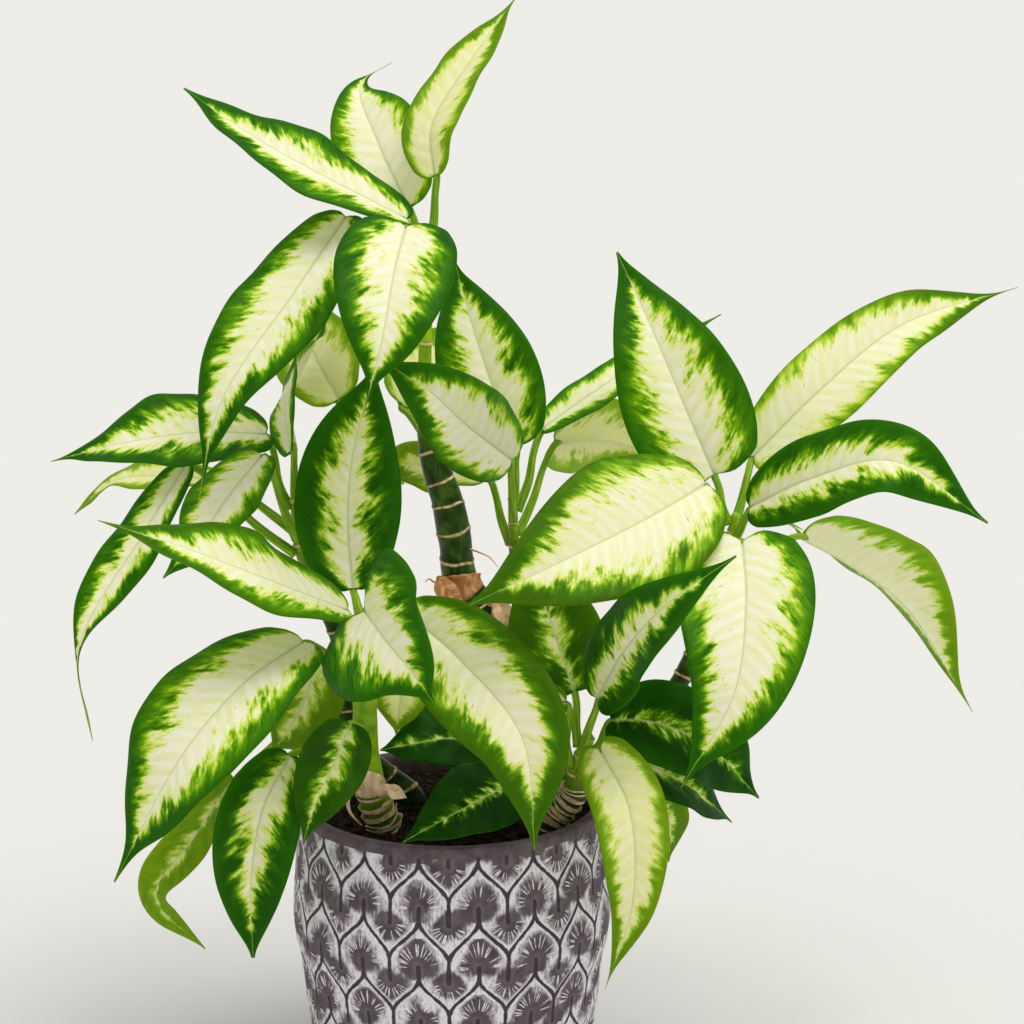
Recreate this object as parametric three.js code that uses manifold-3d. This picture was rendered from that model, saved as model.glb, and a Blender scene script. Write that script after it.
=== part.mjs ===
import * as THREE from 'three';
import Module from 'manifold-3d';
import { mergeVertices } from 'three/addons/utils/BufferGeometryUtils.js';

// A dieffenbachia in its pot, in millimetres, +Z up. The origin is the middle of the pot's flat base.

const wasm = await Module();
wasm.setup();

// Driving dimensions
const fitGap = 0.3; // between pieces that touch

const potHeight = 173;
const potBaseRadius = 76;
const potBellyRadius = 92.2;
const potNeckRadius = 88.5;
const potWall = 6;
const potFloor = 9;
const footEdge = 3; // rounding round the base
const lipHeight = 4; // the plain rounded rim
const lipStand = 0.8; // how far it stands out from the wall
const lipRounding = 0.8;
const lipTop = 2.4; // from the rim's outside to its flat top
const lipInside = 1.2; // from its flat top to the inner wall
const lipDrop = 2.5; // height of the rounding on that side
const potSectors = 34; // two for each of the 17 cells of the lattice round the pot
const latticeTop = 159; // height of the lattice's first row of joints
const latticeRow = 17; // height between its rows
const latticeRows = 9;
const latticeRelief = 1.6; // how far a cell's middle stands over its joints
const wallSteps = 60; // how finely the wall's curve is read
const innerBend = 80; // height at which the inner wall bends

const soilTop = 161;
const soilMound = 4;
const soilEdge = 4; // depth of the soil's rounded edge
const soilRings = [0.75, 0.4, 0.08]; // shares of its radius
const lumpHeight = 1.2;
const lumpTurns = [2.3, 1.1]; // how fast the lumps change round the pot
const lumpShifts = [9, 5]; // and from its edge to its middle
const holeDepth = 45;

const caneSides = 10;
const caneStep = 14; // mm between a cane's sections
const scarRise = 0.5; // how far a leaf scar's ring stands out

const bladeThickness = 0.8;
const bladeBaseWidth = 0.06; // widens the very base
const usualFold = 0.3; // how far a blade's sides rise from the midrib, over half its width
const bladeFlare = 0.16; // and how much of that is lost again at the edges
const edgeWaves = 12; // radians of wave along an edge
const edgeLag = 2; // radians between the waves of the two edges
const lobeLength = 0.09; // share of the blade over which the lobes at its base fade
const usualSwell = 0.65; // lower is fuller at the blade's base
const usualDraw = 0.85; // lower is fuller towards the tip
const usualTail = 0.07; // share of the length that is only the thin tail at the tip
const tailEase = 0.035; // how softly the blade runs out into its tail
const tipHalf = 0.5; // half the width that the tail ends in
const stalkRadius = 2.1;
const stalkReach = 1.5; // how far the stalk ends before the blade's base
const stalkBow = 0.06; // how far the stalk bows up and out near its cane, over its length
const stalkArch = 0.05; // and up near the blade
const sheathRadius = 3; // the stalk where it clasps its cane
const sheathShare = 0.6; // share of the stalk over which it narrows
const columns = [-1, -0.55, 0, 0.55, 1]; // across a blade, from edge to edge
const stations = [0, 0.05, 0.15, 0.28, 0.42, 0.56, 0.7, 0.83, 0.93, 1]; // along a blade
const huskStations = [0, 0.5, 1];
const stalkStations = [1, 0.7, 0.35, 0]; // from the blade back to the cane

// A seen point is [pixel across, pixel down, mm behind the pot's axis] in a 1024 by 1024 view of the plant.
const view = {
  centre: 512,
  focal: 2827,
  distance: 1600,
  pitch: THREE.MathUtils.degToRad(13.5),
  target: new THREE.Vector3(35, 0, 342),
};
const viewAhead = new THREE.Vector3(0, Math.cos(view.pitch), -Math.sin(view.pitch));
const viewUp = new THREE.Vector3(0, Math.sin(view.pitch), Math.cos(view.pitch));
const viewEye = view.target.clone().addScaledVector(viewAhead, -view.distance);

function place([across, down, behind]) {
  const ray = viewAhead.clone();
  ray.x += (across - view.centre) / view.focal;
  ray.addScaledVector(viewUp, -(down - view.centre) / view.focal);
  return viewEye.clone().addScaledVector(ray, (behind - viewEye.y) / ray.y);
}

// Canes: root is [x, y] in the soil, seen are points up the cane, radii run from the soil to the top.
const canes = {
  main: {
    root: [28, 4],
    seen: [[506, 740, 6], [508, 670, 10], [492, 622, 12], [461, 580, 10], [455, 540, 8], [447, 500, 8],
      [432, 455, 8], [425, 380, 8], [427, 300, 6], [430, 236, 4]],
    radii: [10, 10, 10, 9.5, 4, 2.5],
  },
  back: {
    root: [36, 36],
    seen: [[528, 740, 36], [522, 640, 36], [515, 556, 34], [512, 490, 34]],
    radii: [7, 6, 5, 4, 2.2],
  },
  left: {
    root: [-20, 14],
    seen: [[352, 740, 12], [343, 650, 4], [318, 590, 2], [300, 545, 4], [294, 486, 8]],
    radii: [6.5, 6, 5.5, 5, 2.2],
  },
  front: {
    root: [-37, -30],
    seen: [[373, 796, -34], [366, 750, -40], [365, 700, -46], [364, 650, -52], [362, 618, -55]],
    radii: [9.5, 9.5, 8.5, 7, 7, 4],
  },
  small: {
    root: [56, -24],
    seen: [[573, 794, -28], [579, 765, -34], [590, 734, -42]],
    radii: [9.5, 9.5, 7, 3],
  },
  right: {
    root: [55, 14],
    seen: [[611, 757, 13], [680, 681, 12], [712, 600, 6], [732, 535, 2], [736, 512, 2]],
    radii: [8, 6.5, 6, 5.5, 4.5, 2.5],
  },
};

const toViewer = [0, -0.95, 0.3];
const toSky = [0, -0.5, 0.87];

// Leaves: joins is the height on the cane. base, third, far and tip are seen points along the midrib.
// width is the real one. facing is where the upper face looks.
// heart is how far the lobes reach back, as a share of the length. wave is the edge's, in mm.
// swell, draw and tail give the outline and fold the fold along the midrib, where they aren't the usual.
const leaves = [
  { name: 'leaf_main_1', cane: 'main', joins: 478, base: [406, 218, 0], third: [332, 180, -8],
    far: [256, 138, -4], tip: [184, 88, 10], width: 51, facing: [0.1, -0.45, 0.9], heart: 0.05, wave: 2.5 },
  { name: 'leaf_main_2', cane: 'main', joins: 484, base: [408, 206, 24], third: [378, 142, 46],
    far: [361, 84, 80], tip: [392, 62, 96], width: 54, facing: [-0.1, -0.9, 0.4], heart: 0.03, tail: 0.2,
    wave: 2 },
  { name: 'leaf_main_3', cane: 'main', joins: 493, base: [434, 174, 4], third: [431, 128, 14],
    far: [472, 58, 34], tip: [518, -6, 58], width: 39, facing: [-0.6, -0.7, 0.3], heart: 0.03, draw: 1,
    wave: 2 },
  { name: 'leaf_main_4', cane: 'main', joins: 466, base: [406, 226, -38], third: [394, 272, -78],
    far: [382, 340, -106], tip: [363, 416, -112], width: 64, facing: toViewer, heart: 0.05, swell: 0.5,
    draw: 0.7, tail: 0.17, wave: 2 },
  { name: 'leaf_main_5', cane: 'main', joins: 456, base: [346, 217, -2], third: [292, 295, -42],
    far: [221, 402, -72], tip: [197, 508, -70], width: 56, facing: [-0.3, -0.8, 0.5], heart: 0.03,
    tail: 0.16, wave: 3 },
  { name: 'leaf_main_6', cane: 'main', joins: 384, base: [404, 404, 40], third: [428, 378, 74],
    far: [452, 346, 100], tip: [474, 312, 112], width: 54, facing: toViewer, heart: 0.05, wave: 2 },
  { name: 'leaf_back_1', cane: 'back', joins: 340, base: [516, 446, 20], third: [494, 390, 24],
    far: [473, 328, 34], tip: [455, 262, 50], width: 58, facing: toViewer, heart: 0.02, swell: 0.6,
    wave: 2 },
  { name: 'leaf_back_2', cane: 'back', joins: 330, base: [512, 460, 2], third: [468, 426, -36],
    far: [428, 390, -60], tip: [388, 364, -62], width: 50, facing: toViewer, heart: 0.03, swell: 0.65,
    draw: 0.75, tail: 0.03, wave: 2 },
  { name: 'leaf_back_3', cane: 'back', joins: 334, base: [543, 428, 46], third: [592, 393, 72],
    far: [652, 354, 104], tip: [721, 314, 126], width: 27, facing: [0.2, -0.3, 0.9], heart: 0.05, wave: 2 },
  { name: 'leaf_back_4', cane: 'back', joins: 320, base: [554, 442, 62], third: [590, 438, 92],
    far: [628, 444, 118], tip: [664, 464, 130], width: 52, facing: [0.1, 0.95, 0.1], heart: 0.05, wave: 2 },
  { name: 'leaf_back_5', cane: 'back', joins: 314, base: [487, 477, 50], third: [444, 468, 72],
    far: [410, 464, 88], tip: [386, 468, 88], width: 44, facing: [0, -0.6, 0.8], heart: 0.05, draw: 0.5,
    tail: 0.02, wave: 3 },
  { name: 'leaf_left_1', cane: 'left', joins: 342, base: [266, 434, 14], third: [200, 432, 0],
    far: [128, 442, -8], tip: [51, 461, 0], width: 60, facing: toSky, heart: 0.04, tail: 0.12, wave: 2.5 },
  { name: 'leaf_left_2', cane: 'left', joins: 330, base: [218, 480, 44], third: [166, 476, 60],
    far: [112, 482, 84], tip: [74, 514, 96], width: 26, facing: toSky, heart: 0.03, wave: 2 },
  { name: 'leaf_left_3', cane: 'left', joins: 318, base: [185, 466, -10], third: [143, 534, -34],
    far: [78, 650, -58], tip: [92, 741, -60], width: 37, facing: [-0.6, -0.75, 0.25], heart: 0.03,
    tail: 0.27, wave: 2.5 },
  { name: 'leaf_left_4', cane: 'left', joins: 326, base: [262, 455, -26], third: [230, 494, -46],
    far: [196, 543, -66], tip: [163, 578, -70], width: 42, facing: [-0.3, -0.7, 0.6], heart: 0.03,
    wave: 2 },
  { name: 'leaf_left_5', cane: 'left', joins: 350, base: [290, 450, -12], third: [286, 400, 6],
    far: [310, 350, 36], tip: [337, 301, 56], width: 40, facing: [-0.9, -0.25, 0.3], heart: 0.04, tail: 0.1,
    wave: 3 },
  { name: 'leaf_left_6', cane: 'left', joins: 340, base: [338, 398, 40], third: [318, 362, 60],
    far: [300, 322, 80], tip: [282, 280, 92], width: 50, facing: toViewer, heart: 0.05, wave: 3 },
  { name: 'leaf_left_7', cane: 'left', joins: 252, base: [318, 652, -24], third: [308, 690, -34],
    far: [294, 722, -34], tip: [272, 752, -24], width: 44, facing: toViewer, heart: 0.06, wave: 2 },
  { name: 'leaf_left_8', cane: 'left', joins: 226, base: [232, 780, -30], third: [190, 842, -52],
    far: [155, 896, -66], tip: [205, 949, -62], width: 30, facing: [-0.6, -0.75, 0.3], heart: 0.05,
    wave: 2 },
  { name: 'leaf_front_1', cane: 'front', joins: 286, base: [348, 610, -62], third: [270, 580, -94],
    far: [180, 546, -114], tip: [98, 520, -122], width: 58, facing: toSky, heart: 0.03, tail: 0.12,
    wave: 2.5 },
  { name: 'leaf_front_2', cane: 'front', joins: 294, base: [353, 588, -40], third: [348, 528, -28],
    far: [352, 460, -10], tip: [376, 362, 8], width: 60, facing: toViewer, heart: 0.03, wave: 2 },
  { name: 'leaf_front_3', cane: 'front', joins: 282, base: [364, 611, -98], third: [385, 640, -123],
    far: [408, 668, -143], tip: [433, 702, -150], width: 84, facing: [-0.5, -0.85, 0.2], heart: 0.16,
    swell: 0.3, draw: 0.8, wave: 2 },
  { name: 'leaf_front_4', cane: 'front', joins: 272, base: [404, 612, -66], third: [460, 660, -102],
    far: [522, 738, -130], tip: [535, 850, -142], width: 62, facing: toViewer, heart: 0.03, swell: 0.85,
    draw: 0.9, wave: 2.5 },
  { name: 'leaf_front_5', cane: 'front', joins: 264, base: [304, 641, -70], third: [245, 682, -104],
    far: [184, 752, -128], tip: [114, 882, -132], width: 72, facing: [-0.3, -0.7, 0.65], heart: 0.02,
    swell: 0.6, draw: 0.62, tail: 0.15, wave: 3 },
  { name: 'leaf_front_6', cane: 'front', joins: 216, base: [290, 756, -70], third: [263, 808, -92],
    far: [251, 880, -98], tip: [253, 958, -94], width: 46, facing: toViewer, heart: 0.03, tail: 0.05,
    wave: 2 },
  { name: 'leaf_front_7', cane: 'front', joins: 232, base: [350, 724, -64], third: [335, 760, -84],
    far: [317, 800, -98], tip: [303, 842, -102], width: 38, facing: toViewer, heart: 0.03, wave: 2 },
  { name: 'leaf_front_8', cane: 'front', joins: 258, base: [402, 656, -12], third: [401, 682, -16],
    far: [399, 708, -20], tip: [396, 734, -20], width: 34, facing: toViewer, heart: 0.03, wave: 1.5 },
  { name: 'leaf_low_1', cane: 'main', joins: 196, base: [478, 743, -2], third: [450, 738, -12],
    far: [412, 744, -20], tip: [380, 750, -22], width: 44, facing: [0, -0.6, 0.8], heart: 0.04, wave: 2 },
  { name: 'leaf_low_2', cane: 'main', joins: 178, base: [522, 778, -32], third: [490, 794, -56],
    far: [446, 818, -76], tip: [403, 842, -88], width: 46, facing: [0, -0.7, 0.7], heart: 0.04, wave: 2 },
  { name: 'leaf_small_1', cane: 'small', joins: 218, base: [597, 698, -70], third: [626, 648, -114],
    far: [671, 601, -155], tip: [736, 556, -160], width: 44, facing: [-0.3, -0.85, 0.4], heart: 0.05,
    wave: 2 },
  { name: 'leaf_small_2', cane: 'small', joins: 212, base: [574, 690, -34], third: [560, 650, -22],
    far: [545, 606, -14], tip: [522, 556, -8], width: 54, facing: toViewer, heart: 0.05, wave: 2 },
  { name: 'leaf_small_3', cane: 'small', joins: 212, base: [612, 720, -48], third: [652, 722, -54],
    far: [706, 744, -48], tip: [759, 798, -30], width: 54, facing: [0.1, -0.75, 0.65], heart: 0.05,
    wave: 2.5 },
  { name: 'leaf_small_4', cane: 'small', joins: 196, base: [612, 748, -26], third: [646, 762, -30],
    far: [692, 788, -24], tip: [732, 822, -8], width: 46, facing: toSky, heart: 0.04, wave: 2 },
  { name: 'leaf_small_5', cane: 'small', joins: 201, base: [600, 750, -78], third: [630, 812, -112],
    far: [633, 900, -122], tip: [605, 990, -116], width: 40, facing: toViewer, heart: 0.06, swell: 0.6,
    draw: 1.15, wave: 2 },
  { name: 'leaf_small_6', cane: 'small', joins: 188, base: [628, 772, -12], third: [654, 796, 0],
    far: [670, 822, 14], tip: [669, 862, 30], width: 36, facing: [0.3, -0.7, 0.6], heart: 0.04, wave: 1.5 },
  { name: 'leaf_small_7', cane: 'small', joins: 204, base: [566, 702, -60], third: [548, 700, -62],
    far: [528, 694, -60], tip: [512, 698, -54], width: 26, facing: [-0.1, -0.6, 0.8], heart: 0.04,
    wave: 1.5 },
  { name: 'leaf_right_1', cane: 'right', joins: 334, base: [714, 474, 2], third: [690, 418, 8],
    far: [656, 338, 24], tip: [617, 252, 56], width: 72, facing: toViewer, heart: 0.03, swell: 0.5,
    draw: 1.1, tail: 0.03, wave: 2.5 },
  { name: 'leaf_right_2', cane: 'right', joins: 322, base: [706, 484, -24], third: [640, 522, -72],
    far: [560, 562, -110], tip: [469, 605, -126], width: 80, facing: [-0.15, -0.92, 0.35], heart: 0.03,
    swell: 0.8, draw: 1, tail: 0.05, wave: 3 },
  { name: 'leaf_right_3', cane: 'right', joins: 336, base: [754, 456, 24], third: [816, 394, 34],
    far: [900, 326, 60], tip: [1018, 287, 96], width: 48, facing: [0.1, -0.75, 0.65], heart: 0.04,
    swell: 0.6, draw: 0.85, tail: 0.12, wave: 2.5 },
  { name: 'leaf_right_4', cane: 'right', joins: 326, base: [750, 507, -12], third: [815, 477, -42],
    far: [893, 461, -64], tip: [988, 523, -66], width: 50, facing: [0, -0.8, 0.6], heart: 0.03, wave: 2.5 },
  { name: 'leaf_right_5', cane: 'right', joins: 310, base: [803, 533, 18], third: [848, 560, 50],
    far: [907, 606, 82], tip: [973, 712, 100], width: 56, facing: [0.4, 0.78, 0.48], heart: 0.03,
    tail: 0.13, fold: 0.8, wave: 2.5 },
  { name: 'leaf_right_6', cane: 'right', joins: 306, base: [742, 541, -49], third: [746, 604, -86],
    far: [734, 694, -114], tip: [681, 788, -120], width: 74, facing: toViewer, heart: 0.06, swell: 0.5,
    draw: 1, wave: 2 },
];

// Dried sheaths, described as the leaves are. Each stands off its cane on a short stub.
const husks = [
  { name: 'husk_main_1', cane: 'main', joins: 302, base: [440, 580, -6], third: [444, 588, -9],
    far: [452, 596, -10], tip: [464, 604, -10], width: 12, facing: toViewer, heart: 0, wave: 0.5 },
  { name: 'husk_main_2', cane: 'main', joins: 284, base: [497, 600, -2], third: [502, 610, -6],
    far: [507, 622, -8], tip: [511, 636, -8], width: 11, facing: toViewer, heart: 0, wave: 0.5 },
  { name: 'husk_front_1', cane: 'front', joins: 196, base: [352, 782, -50], third: [346, 792, -53],
    far: [341, 800, -54], tip: [336, 808, -54], width: 8, facing: toViewer, heart: 0, wave: 0.5 },
  { name: 'husk_front_2', cane: 'front', joins: 190, base: [388, 788, -50], third: [395, 792, -53],
    far: [401, 795, -54], tip: [407, 798, -54], width: 8, facing: toViewer, heart: 0, wave: 0.5 },
];

const materials = {
  pot: new THREE.MeshStandardMaterial({ color: 0x6d6464, roughness: 0.75, metalness: 0 }),
  soil: new THREE.MeshStandardMaterial({ color: 0x35261c, roughness: 1, metalness: 0 }),
  cane: new THREE.MeshStandardMaterial({ color: 0x4f6b2c, roughness: 0.6, metalness: 0 }),
  leaf: new THREE.MeshStandardMaterial({ color: 0x6f9a3a, roughness: 0.45, metalness: 0 }),
  husk: new THREE.MeshStandardMaterial({ color: 0xa8743c, roughness: 0.9, metalness: 0 }),
};

// Shared shapes

// A closed body through rings of equal length. crossed tells which quads take the other diagonal.
function loft(rings, crossed = () => false) {
  const count = rings[0].length;
  const faces = [];
  for (let i = 0; i + 1 < rings.length; i++) {
    for (let j = 0; j < count; j++) {
      const a = i * count + j;
      const b = i * count + (j + 1) % count;
      if (crossed(j)) faces.push(a, b, a + count, b, b + count, a + count);
      else faces.push(a, b, b + count, a, b + count, a + count);
    }
  }
  const last = (rings.length - 1) * count;
  for (let j = 0; j < count / 2 - 1; j++) { // each end is closed by a strip across it
    const [a, b, c, d] = [j, j + 1, count - 2 - j, count - 1 - j];
    faces.push(a, c, b, a, d, c);
    faces.push(last + a, last + b, last + c, last + a, last + c, last + d);
  }
  return bodyFrom(rings.flat(), faces);
}

function bodyFrom(points, faces) {
  let volume = 0;
  for (let i = 0; i < faces.length; i += 3) {
    const [a, b, c] = [points[faces[i]], points[faces[i + 1]], points[faces[i + 2]]];
    volume += a.dot(new THREE.Vector3().crossVectors(b, c));
  }
  const geometry = new THREE.BufferGeometry().setFromPoints(points);
  geometry.setIndex(volume > 0 ? faces : faces.toReversed());
  return geometry;
}

// Canes

for (const cane of Object.values(canes)) {
  const [x, y] = cane.root;
  const buried = new THREE.Vector3(x, y, soilTop - holeDepth);
  const surface = new THREE.Vector3(x, y, soilTop + 2);
  cane.curve = new THREE.CatmullRomCurve3([buried, surface, ...cane.seen.map(place)]);
  cane.length = cane.curve.getLength();
}

// The radius swells a little at each leaf scar, and the scars draw closer towards the top.
function caneRadius(cane, u) {
  const along = u * (cane.radii.length - 1);
  const index = Math.min(Math.floor(along), cane.radii.length - 2);
  const radius = THREE.MathUtils.lerp(cane.radii[index], cane.radii[index + 1], along - index);
  const scar = Math.cos(u * cane.length / caneStep * Math.PI);
  return radius + scarRise * scar * (1 - u);
}

function caneBody(cane, extra = 0) {
  const steps = Math.round(cane.length / caneStep);
  const { tangents, normals, binormals } = cane.curve.computeFrenetFrames(steps, false);
  const rings = [];
  for (let i = 0; i <= steps; i++) {
    const centre = cane.curve.getPointAt(i / steps);
    if (i === 0) centre.addScaledVector(tangents[0], -extra);
    const radius = caneRadius(cane, i / steps) + extra;
    rings.push(Array.from({ length: caneSides }, (_, j) => {
      const angle = j / caneSides * 2 * Math.PI;
      return centre.clone()
        .addScaledVector(normals[i], Math.cos(angle) * radius)
        .addScaledVector(binormals[i], Math.sin(angle) * radius);
    }));
  }
  return loft(rings);
}

function onCane(cane, height) {
  let [low, high] = [0, 1];
  while (high - low > 1e-6) {
    const middle = (low + high) / 2;
    if (cane.curve.getPointAt(middle).z < height) low = middle;
    else high = middle;
  }
  return low;
}

// Leaves

// Half a blade's width over its greatest: a rounded base, full sides and a thin tail.
function outline(t, { swell = usualSwell, draw = usualDraw, tail = usualTail }) {
  const shape = (s) => (s + bladeBaseWidth) ** swell
    * (tailEase * Math.log(1 + Math.exp((1 - s) / tailEase))) ** draw;
  const widest = (swell - draw * bladeBaseWidth) / (swell + draw);
  return shape(t / (1 - tail)) / shape(widest);
}

function bladeRing(leaf, t) {
  const tangent = leaf.curve.getTangentAt(t);
  const facing = new THREE.Vector3(...leaf.facing);
  const normal = facing.addScaledVector(tangent, -facing.dot(tangent)).normalize();
  const side = new THREE.Vector3().crossVectors(tangent, normal);
  const centre = leaf.curve.getPointAt(t);
  const half = Math.max(leaf.width / 2 * outline(t, leaf), tipHalf);
  const fold = leaf.fold ?? usualFold;
  const lobe = leaf.heart * leaf.curve.getLength() * Math.exp(-t / lobeLength);
  const top = columns.map((v) => {
    const edge = Math.abs(v);
    const sway = Math.sin(t * edgeWaves + (v < 0 ? 0 : edgeLag)) * Math.sin(Math.PI * t);
    const wave = leaf.wave * sway * edge ** 2;
    return centre.clone()
      .addScaledVector(side, half * v)
      .addScaledVector(normal, half * (fold * edge - bladeFlare * edge ** 2) + wave)
      .addScaledVector(tangent, -lobe * edge ** 1.5);
  });
  const bottom = columns.map((v, i) => {
    const rib = v === 0 ? (2 * stalkRadius - bladeThickness) * (1 - t) ** 1.5 : 0;
    return top[i].clone().addScaledVector(normal, -bladeThickness - rib);
  });
  return { centre, tangent, normal, points: [...top, ...bottom.reverse()] };
}

function stalkRing(centre, tangent, normal, radius) {
  const side = new THREE.Vector3().crossVectors(tangent, normal);
  return Array.from({ length: 2 * columns.length }, (_, j) => {
    const angle = Math.PI * (0.9 - j / columns.length);
    return centre.clone()
      .addScaledVector(side, Math.cos(angle) * radius)
      .addScaledVector(normal, Math.sin(angle) * radius);
  });
}

function leafBody(leaf, along) {
  leaf.curve = new THREE.CatmullRomCurve3([leaf.base, leaf.third, leaf.far, leaf.tip].map(place));
  const blade = along.map((t) => bladeRing(leaf, t));
  const { centre: base, tangent: ahead, normal } = blade[0];

  const cane = canes[leaf.cane];
  const u = onCane(cane, leaf.joins);
  const axis = cane.curve.getTangentAt(u);
  const outward = base.clone().sub(cane.curve.getPointAt(u));
  outward.addScaledVector(axis, -outward.dot(axis)).normalize();
  const clear = caneRadius(cane, u) + fitGap;
  const start = cane.curve.getPointAt(u).addScaledVector(outward, clear);
  const end = base.clone().addScaledVector(normal, -stalkRadius).addScaledVector(ahead, -stalkReach);
  const rise = start.distanceTo(end);
  const bow = axis.clone().add(outward);
  const stalk = new THREE.CatmullRomCurve3([
    start,
    start.clone().lerp(end, 0.3).addScaledVector(bow, stalkBow * rise),
    start.clone().lerp(end, 0.7).addScaledVector(axis, stalkArch * rise),
    end,
  ]);

  const stalkRings = [];
  let up = normal.clone();
  for (const s of stalkStations) { // each ring turns as little as it can from the one before
    const tangent = s === 0 ? outward : stalk.getTangentAt(s);
    up = up.clone().addScaledVector(tangent, -up.dot(tangent)).normalize();
    const radius = THREE.MathUtils.lerp(sheathRadius, stalkRadius, Math.min(s / sheathShare, 1));
    stalkRings.unshift(stalkRing(stalk.getPointAt(s), tangent, up, radius));
  }
  const across = columns.length;
  return loft([...stalkRings, ...blade.map((ring) => ring.points)], (j) => j >= across && j < 2 * across - 1);
}

// Pot and soil

function around(radius, height, sector) {
  const angle = sector / potSectors * 2 * Math.PI - Math.PI / 2; // from the front
  return new THREE.Vector3(Math.cos(angle) * radius, Math.sin(angle) * radius, height);
}

function turned(rows, crossed = () => false) {
  const points = rows.flatMap((row) => Array.from({ length: potSectors }, (_, s) => row(s)));
  const faces = [];
  for (let r = 0; r + 1 < rows.length; r++) {
    for (let s = 0; s < potSectors; s++) {
      const a = r * potSectors + s;
      const b = r * potSectors + (s + 1) % potSectors;
      if (crossed(r, s)) faces.push(a, b, a + potSectors, b, b + potSectors, a + potSectors);
      else faces.push(a, b, b + potSectors, a, b + potSectors, a + potSectors);
    }
  }
  const last = (rows.length - 1) * potSectors;
  for (let s = 1; s + 1 < potSectors; s++) {
    faces.push(0, s + 1, s);
    faces.push(last, last + s, last + s + 1);
  }
  return bodyFrom(points, faces);
}

// Outer radius of the pot's wall at a height, from its base through the belly to the neck.
const wallCurve = new THREE.SplineCurve([
  new THREE.Vector2(potBaseRadius, 0),
  new THREE.Vector2(83, 36),
  new THREE.Vector2(87.6, 74),
  new THREE.Vector2(potBellyRadius, 102),
  new THREE.Vector2(91, 127),
  new THREE.Vector2(potNeckRadius, potHeight),
]);

function wallRadius(height) {
  const spots = wallCurve.getPoints(wallSteps);
  const above = Math.max(spots.findIndex((spot) => spot.y >= height), 1);
  const [low, high] = [spots[above - 1], spots[above]];
  return THREE.MathUtils.lerp(low.x, high.x, (height - low.y) / (high.y - low.y));
}

const innerRadius = (height) => wallRadius(height) - potWall;

function potBody() {
  const plain = (radius, height) => (s) => around(radius, height, s);
  const rows = [plain(potBaseRadius - footEdge, 0), plain(potBaseRadius, footEdge)];
  const firstLattice = rows.length;
  for (let r = latticeRows - 1; r >= 0; r--) { // joints and raised cell middles take turns round the pot
    const height = latticeTop - latticeRow * r;
    const relief = (s) => latticeRelief * ((s + r) % 2 ? -0.5 : 0.5);
    rows.push((s) => around(wallRadius(height) + relief(s), height, s));
  }
  const lastLattice = rows.length - 1;
  const lip = potNeckRadius + lipStand;
  rows.push(
    plain(potNeckRadius, potHeight - lipHeight - 1),
    plain(lip, potHeight - lipHeight + 0.5),
    plain(lip - lipRounding, potHeight - 1),
    plain(lip - lipTop, potHeight),
    plain(innerRadius(potHeight) + lipInside, potHeight - 0.4),
    plain(innerRadius(potHeight), potHeight - lipDrop),
    plain(innerRadius(soilTop), soilTop - soilEdge),
    plain(innerRadius(innerBend), innerBend),
    plain(innerRadius(potFloor), potFloor),
  );
  const onLattice = (r) => r >= firstLattice && r < lastLattice;
  return turned(rows, (r, s) => onLattice(r) && (s + latticeRows + firstLattice - r) % 2);
}

function soilBody() {
  const plain = (radius, height) => (s) => around(radius - fitGap, height, s);
  const lumpy = (share) => (s) => {
    const lump = lumpHeight * Math.sin(s * lumpTurns[0] + share * lumpShifts[0])
      * Math.cos(s * lumpTurns[1] - share * lumpShifts[1]);
    return around(share * (innerRadius(soilTop) - fitGap), soilTop + soilMound * (1 - share ** 2) + lump, s);
  };
  return turned([
    plain(innerRadius(potFloor), potFloor + fitGap),
    plain(innerRadius(innerBend), innerBend),
    plain(innerRadius(soilTop), soilTop - soilEdge),
    plain(innerRadius(soilTop) - 1, soilTop),
    ...soilRings.map(lumpy),
  ]);
}

function toSolid(geometry) {
  const merged = mergeVertices(new THREE.BufferGeometry()
    .setAttribute('position', geometry.attributes.position)
    .setIndex(geometry.index));
  return new wasm.Manifold(new wasm.Mesh({
    numProp: 3,
    vertProperties: merged.attributes.position.array,
    triVerts: new Uint32Array(merged.index.array),
  }));
}

function toGeometry(solid) {
  const mesh = solid.getMesh();
  const geometry = new THREE.BufferGeometry();
  geometry.setAttribute('position', new THREE.BufferAttribute(mesh.vertProperties, 3));
  geometry.setIndex(new THREE.BufferAttribute(mesh.triVerts, 1));
  return geometry;
}

function soilWithHoles() {
  const simpleEnough = 0.01;
  let soil = toSolid(soilBody());
  for (const cane of Object.values(canes)) soil = soil.subtract(toSolid(caneBody(cane, fitGap)));
  return toGeometry(soil.simplify(simpleEnough));
}

// The plant

const plant = new THREE.Group();

function add(name, geometry, material) {
  geometry.computeVertexNormals();
  const mesh = new THREE.Mesh(geometry, material);
  mesh.name = name;
  plant.add(mesh);
}

add('pot', potBody(), materials.pot);
add('soil', soilWithHoles(), materials.soil);
for (const [name, cane] of Object.entries(canes)) add(`cane_${name}`, caneBody(cane), materials.cane);
for (const leaf of leaves) add(leaf.name, leafBody(leaf, stations), materials.leaf);
for (const husk of husks) add(husk.name, leafBody(husk, huskStations), materials.husk);

export default plant;
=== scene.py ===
import math
import bpy
import bmesh
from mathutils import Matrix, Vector, noise


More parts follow.
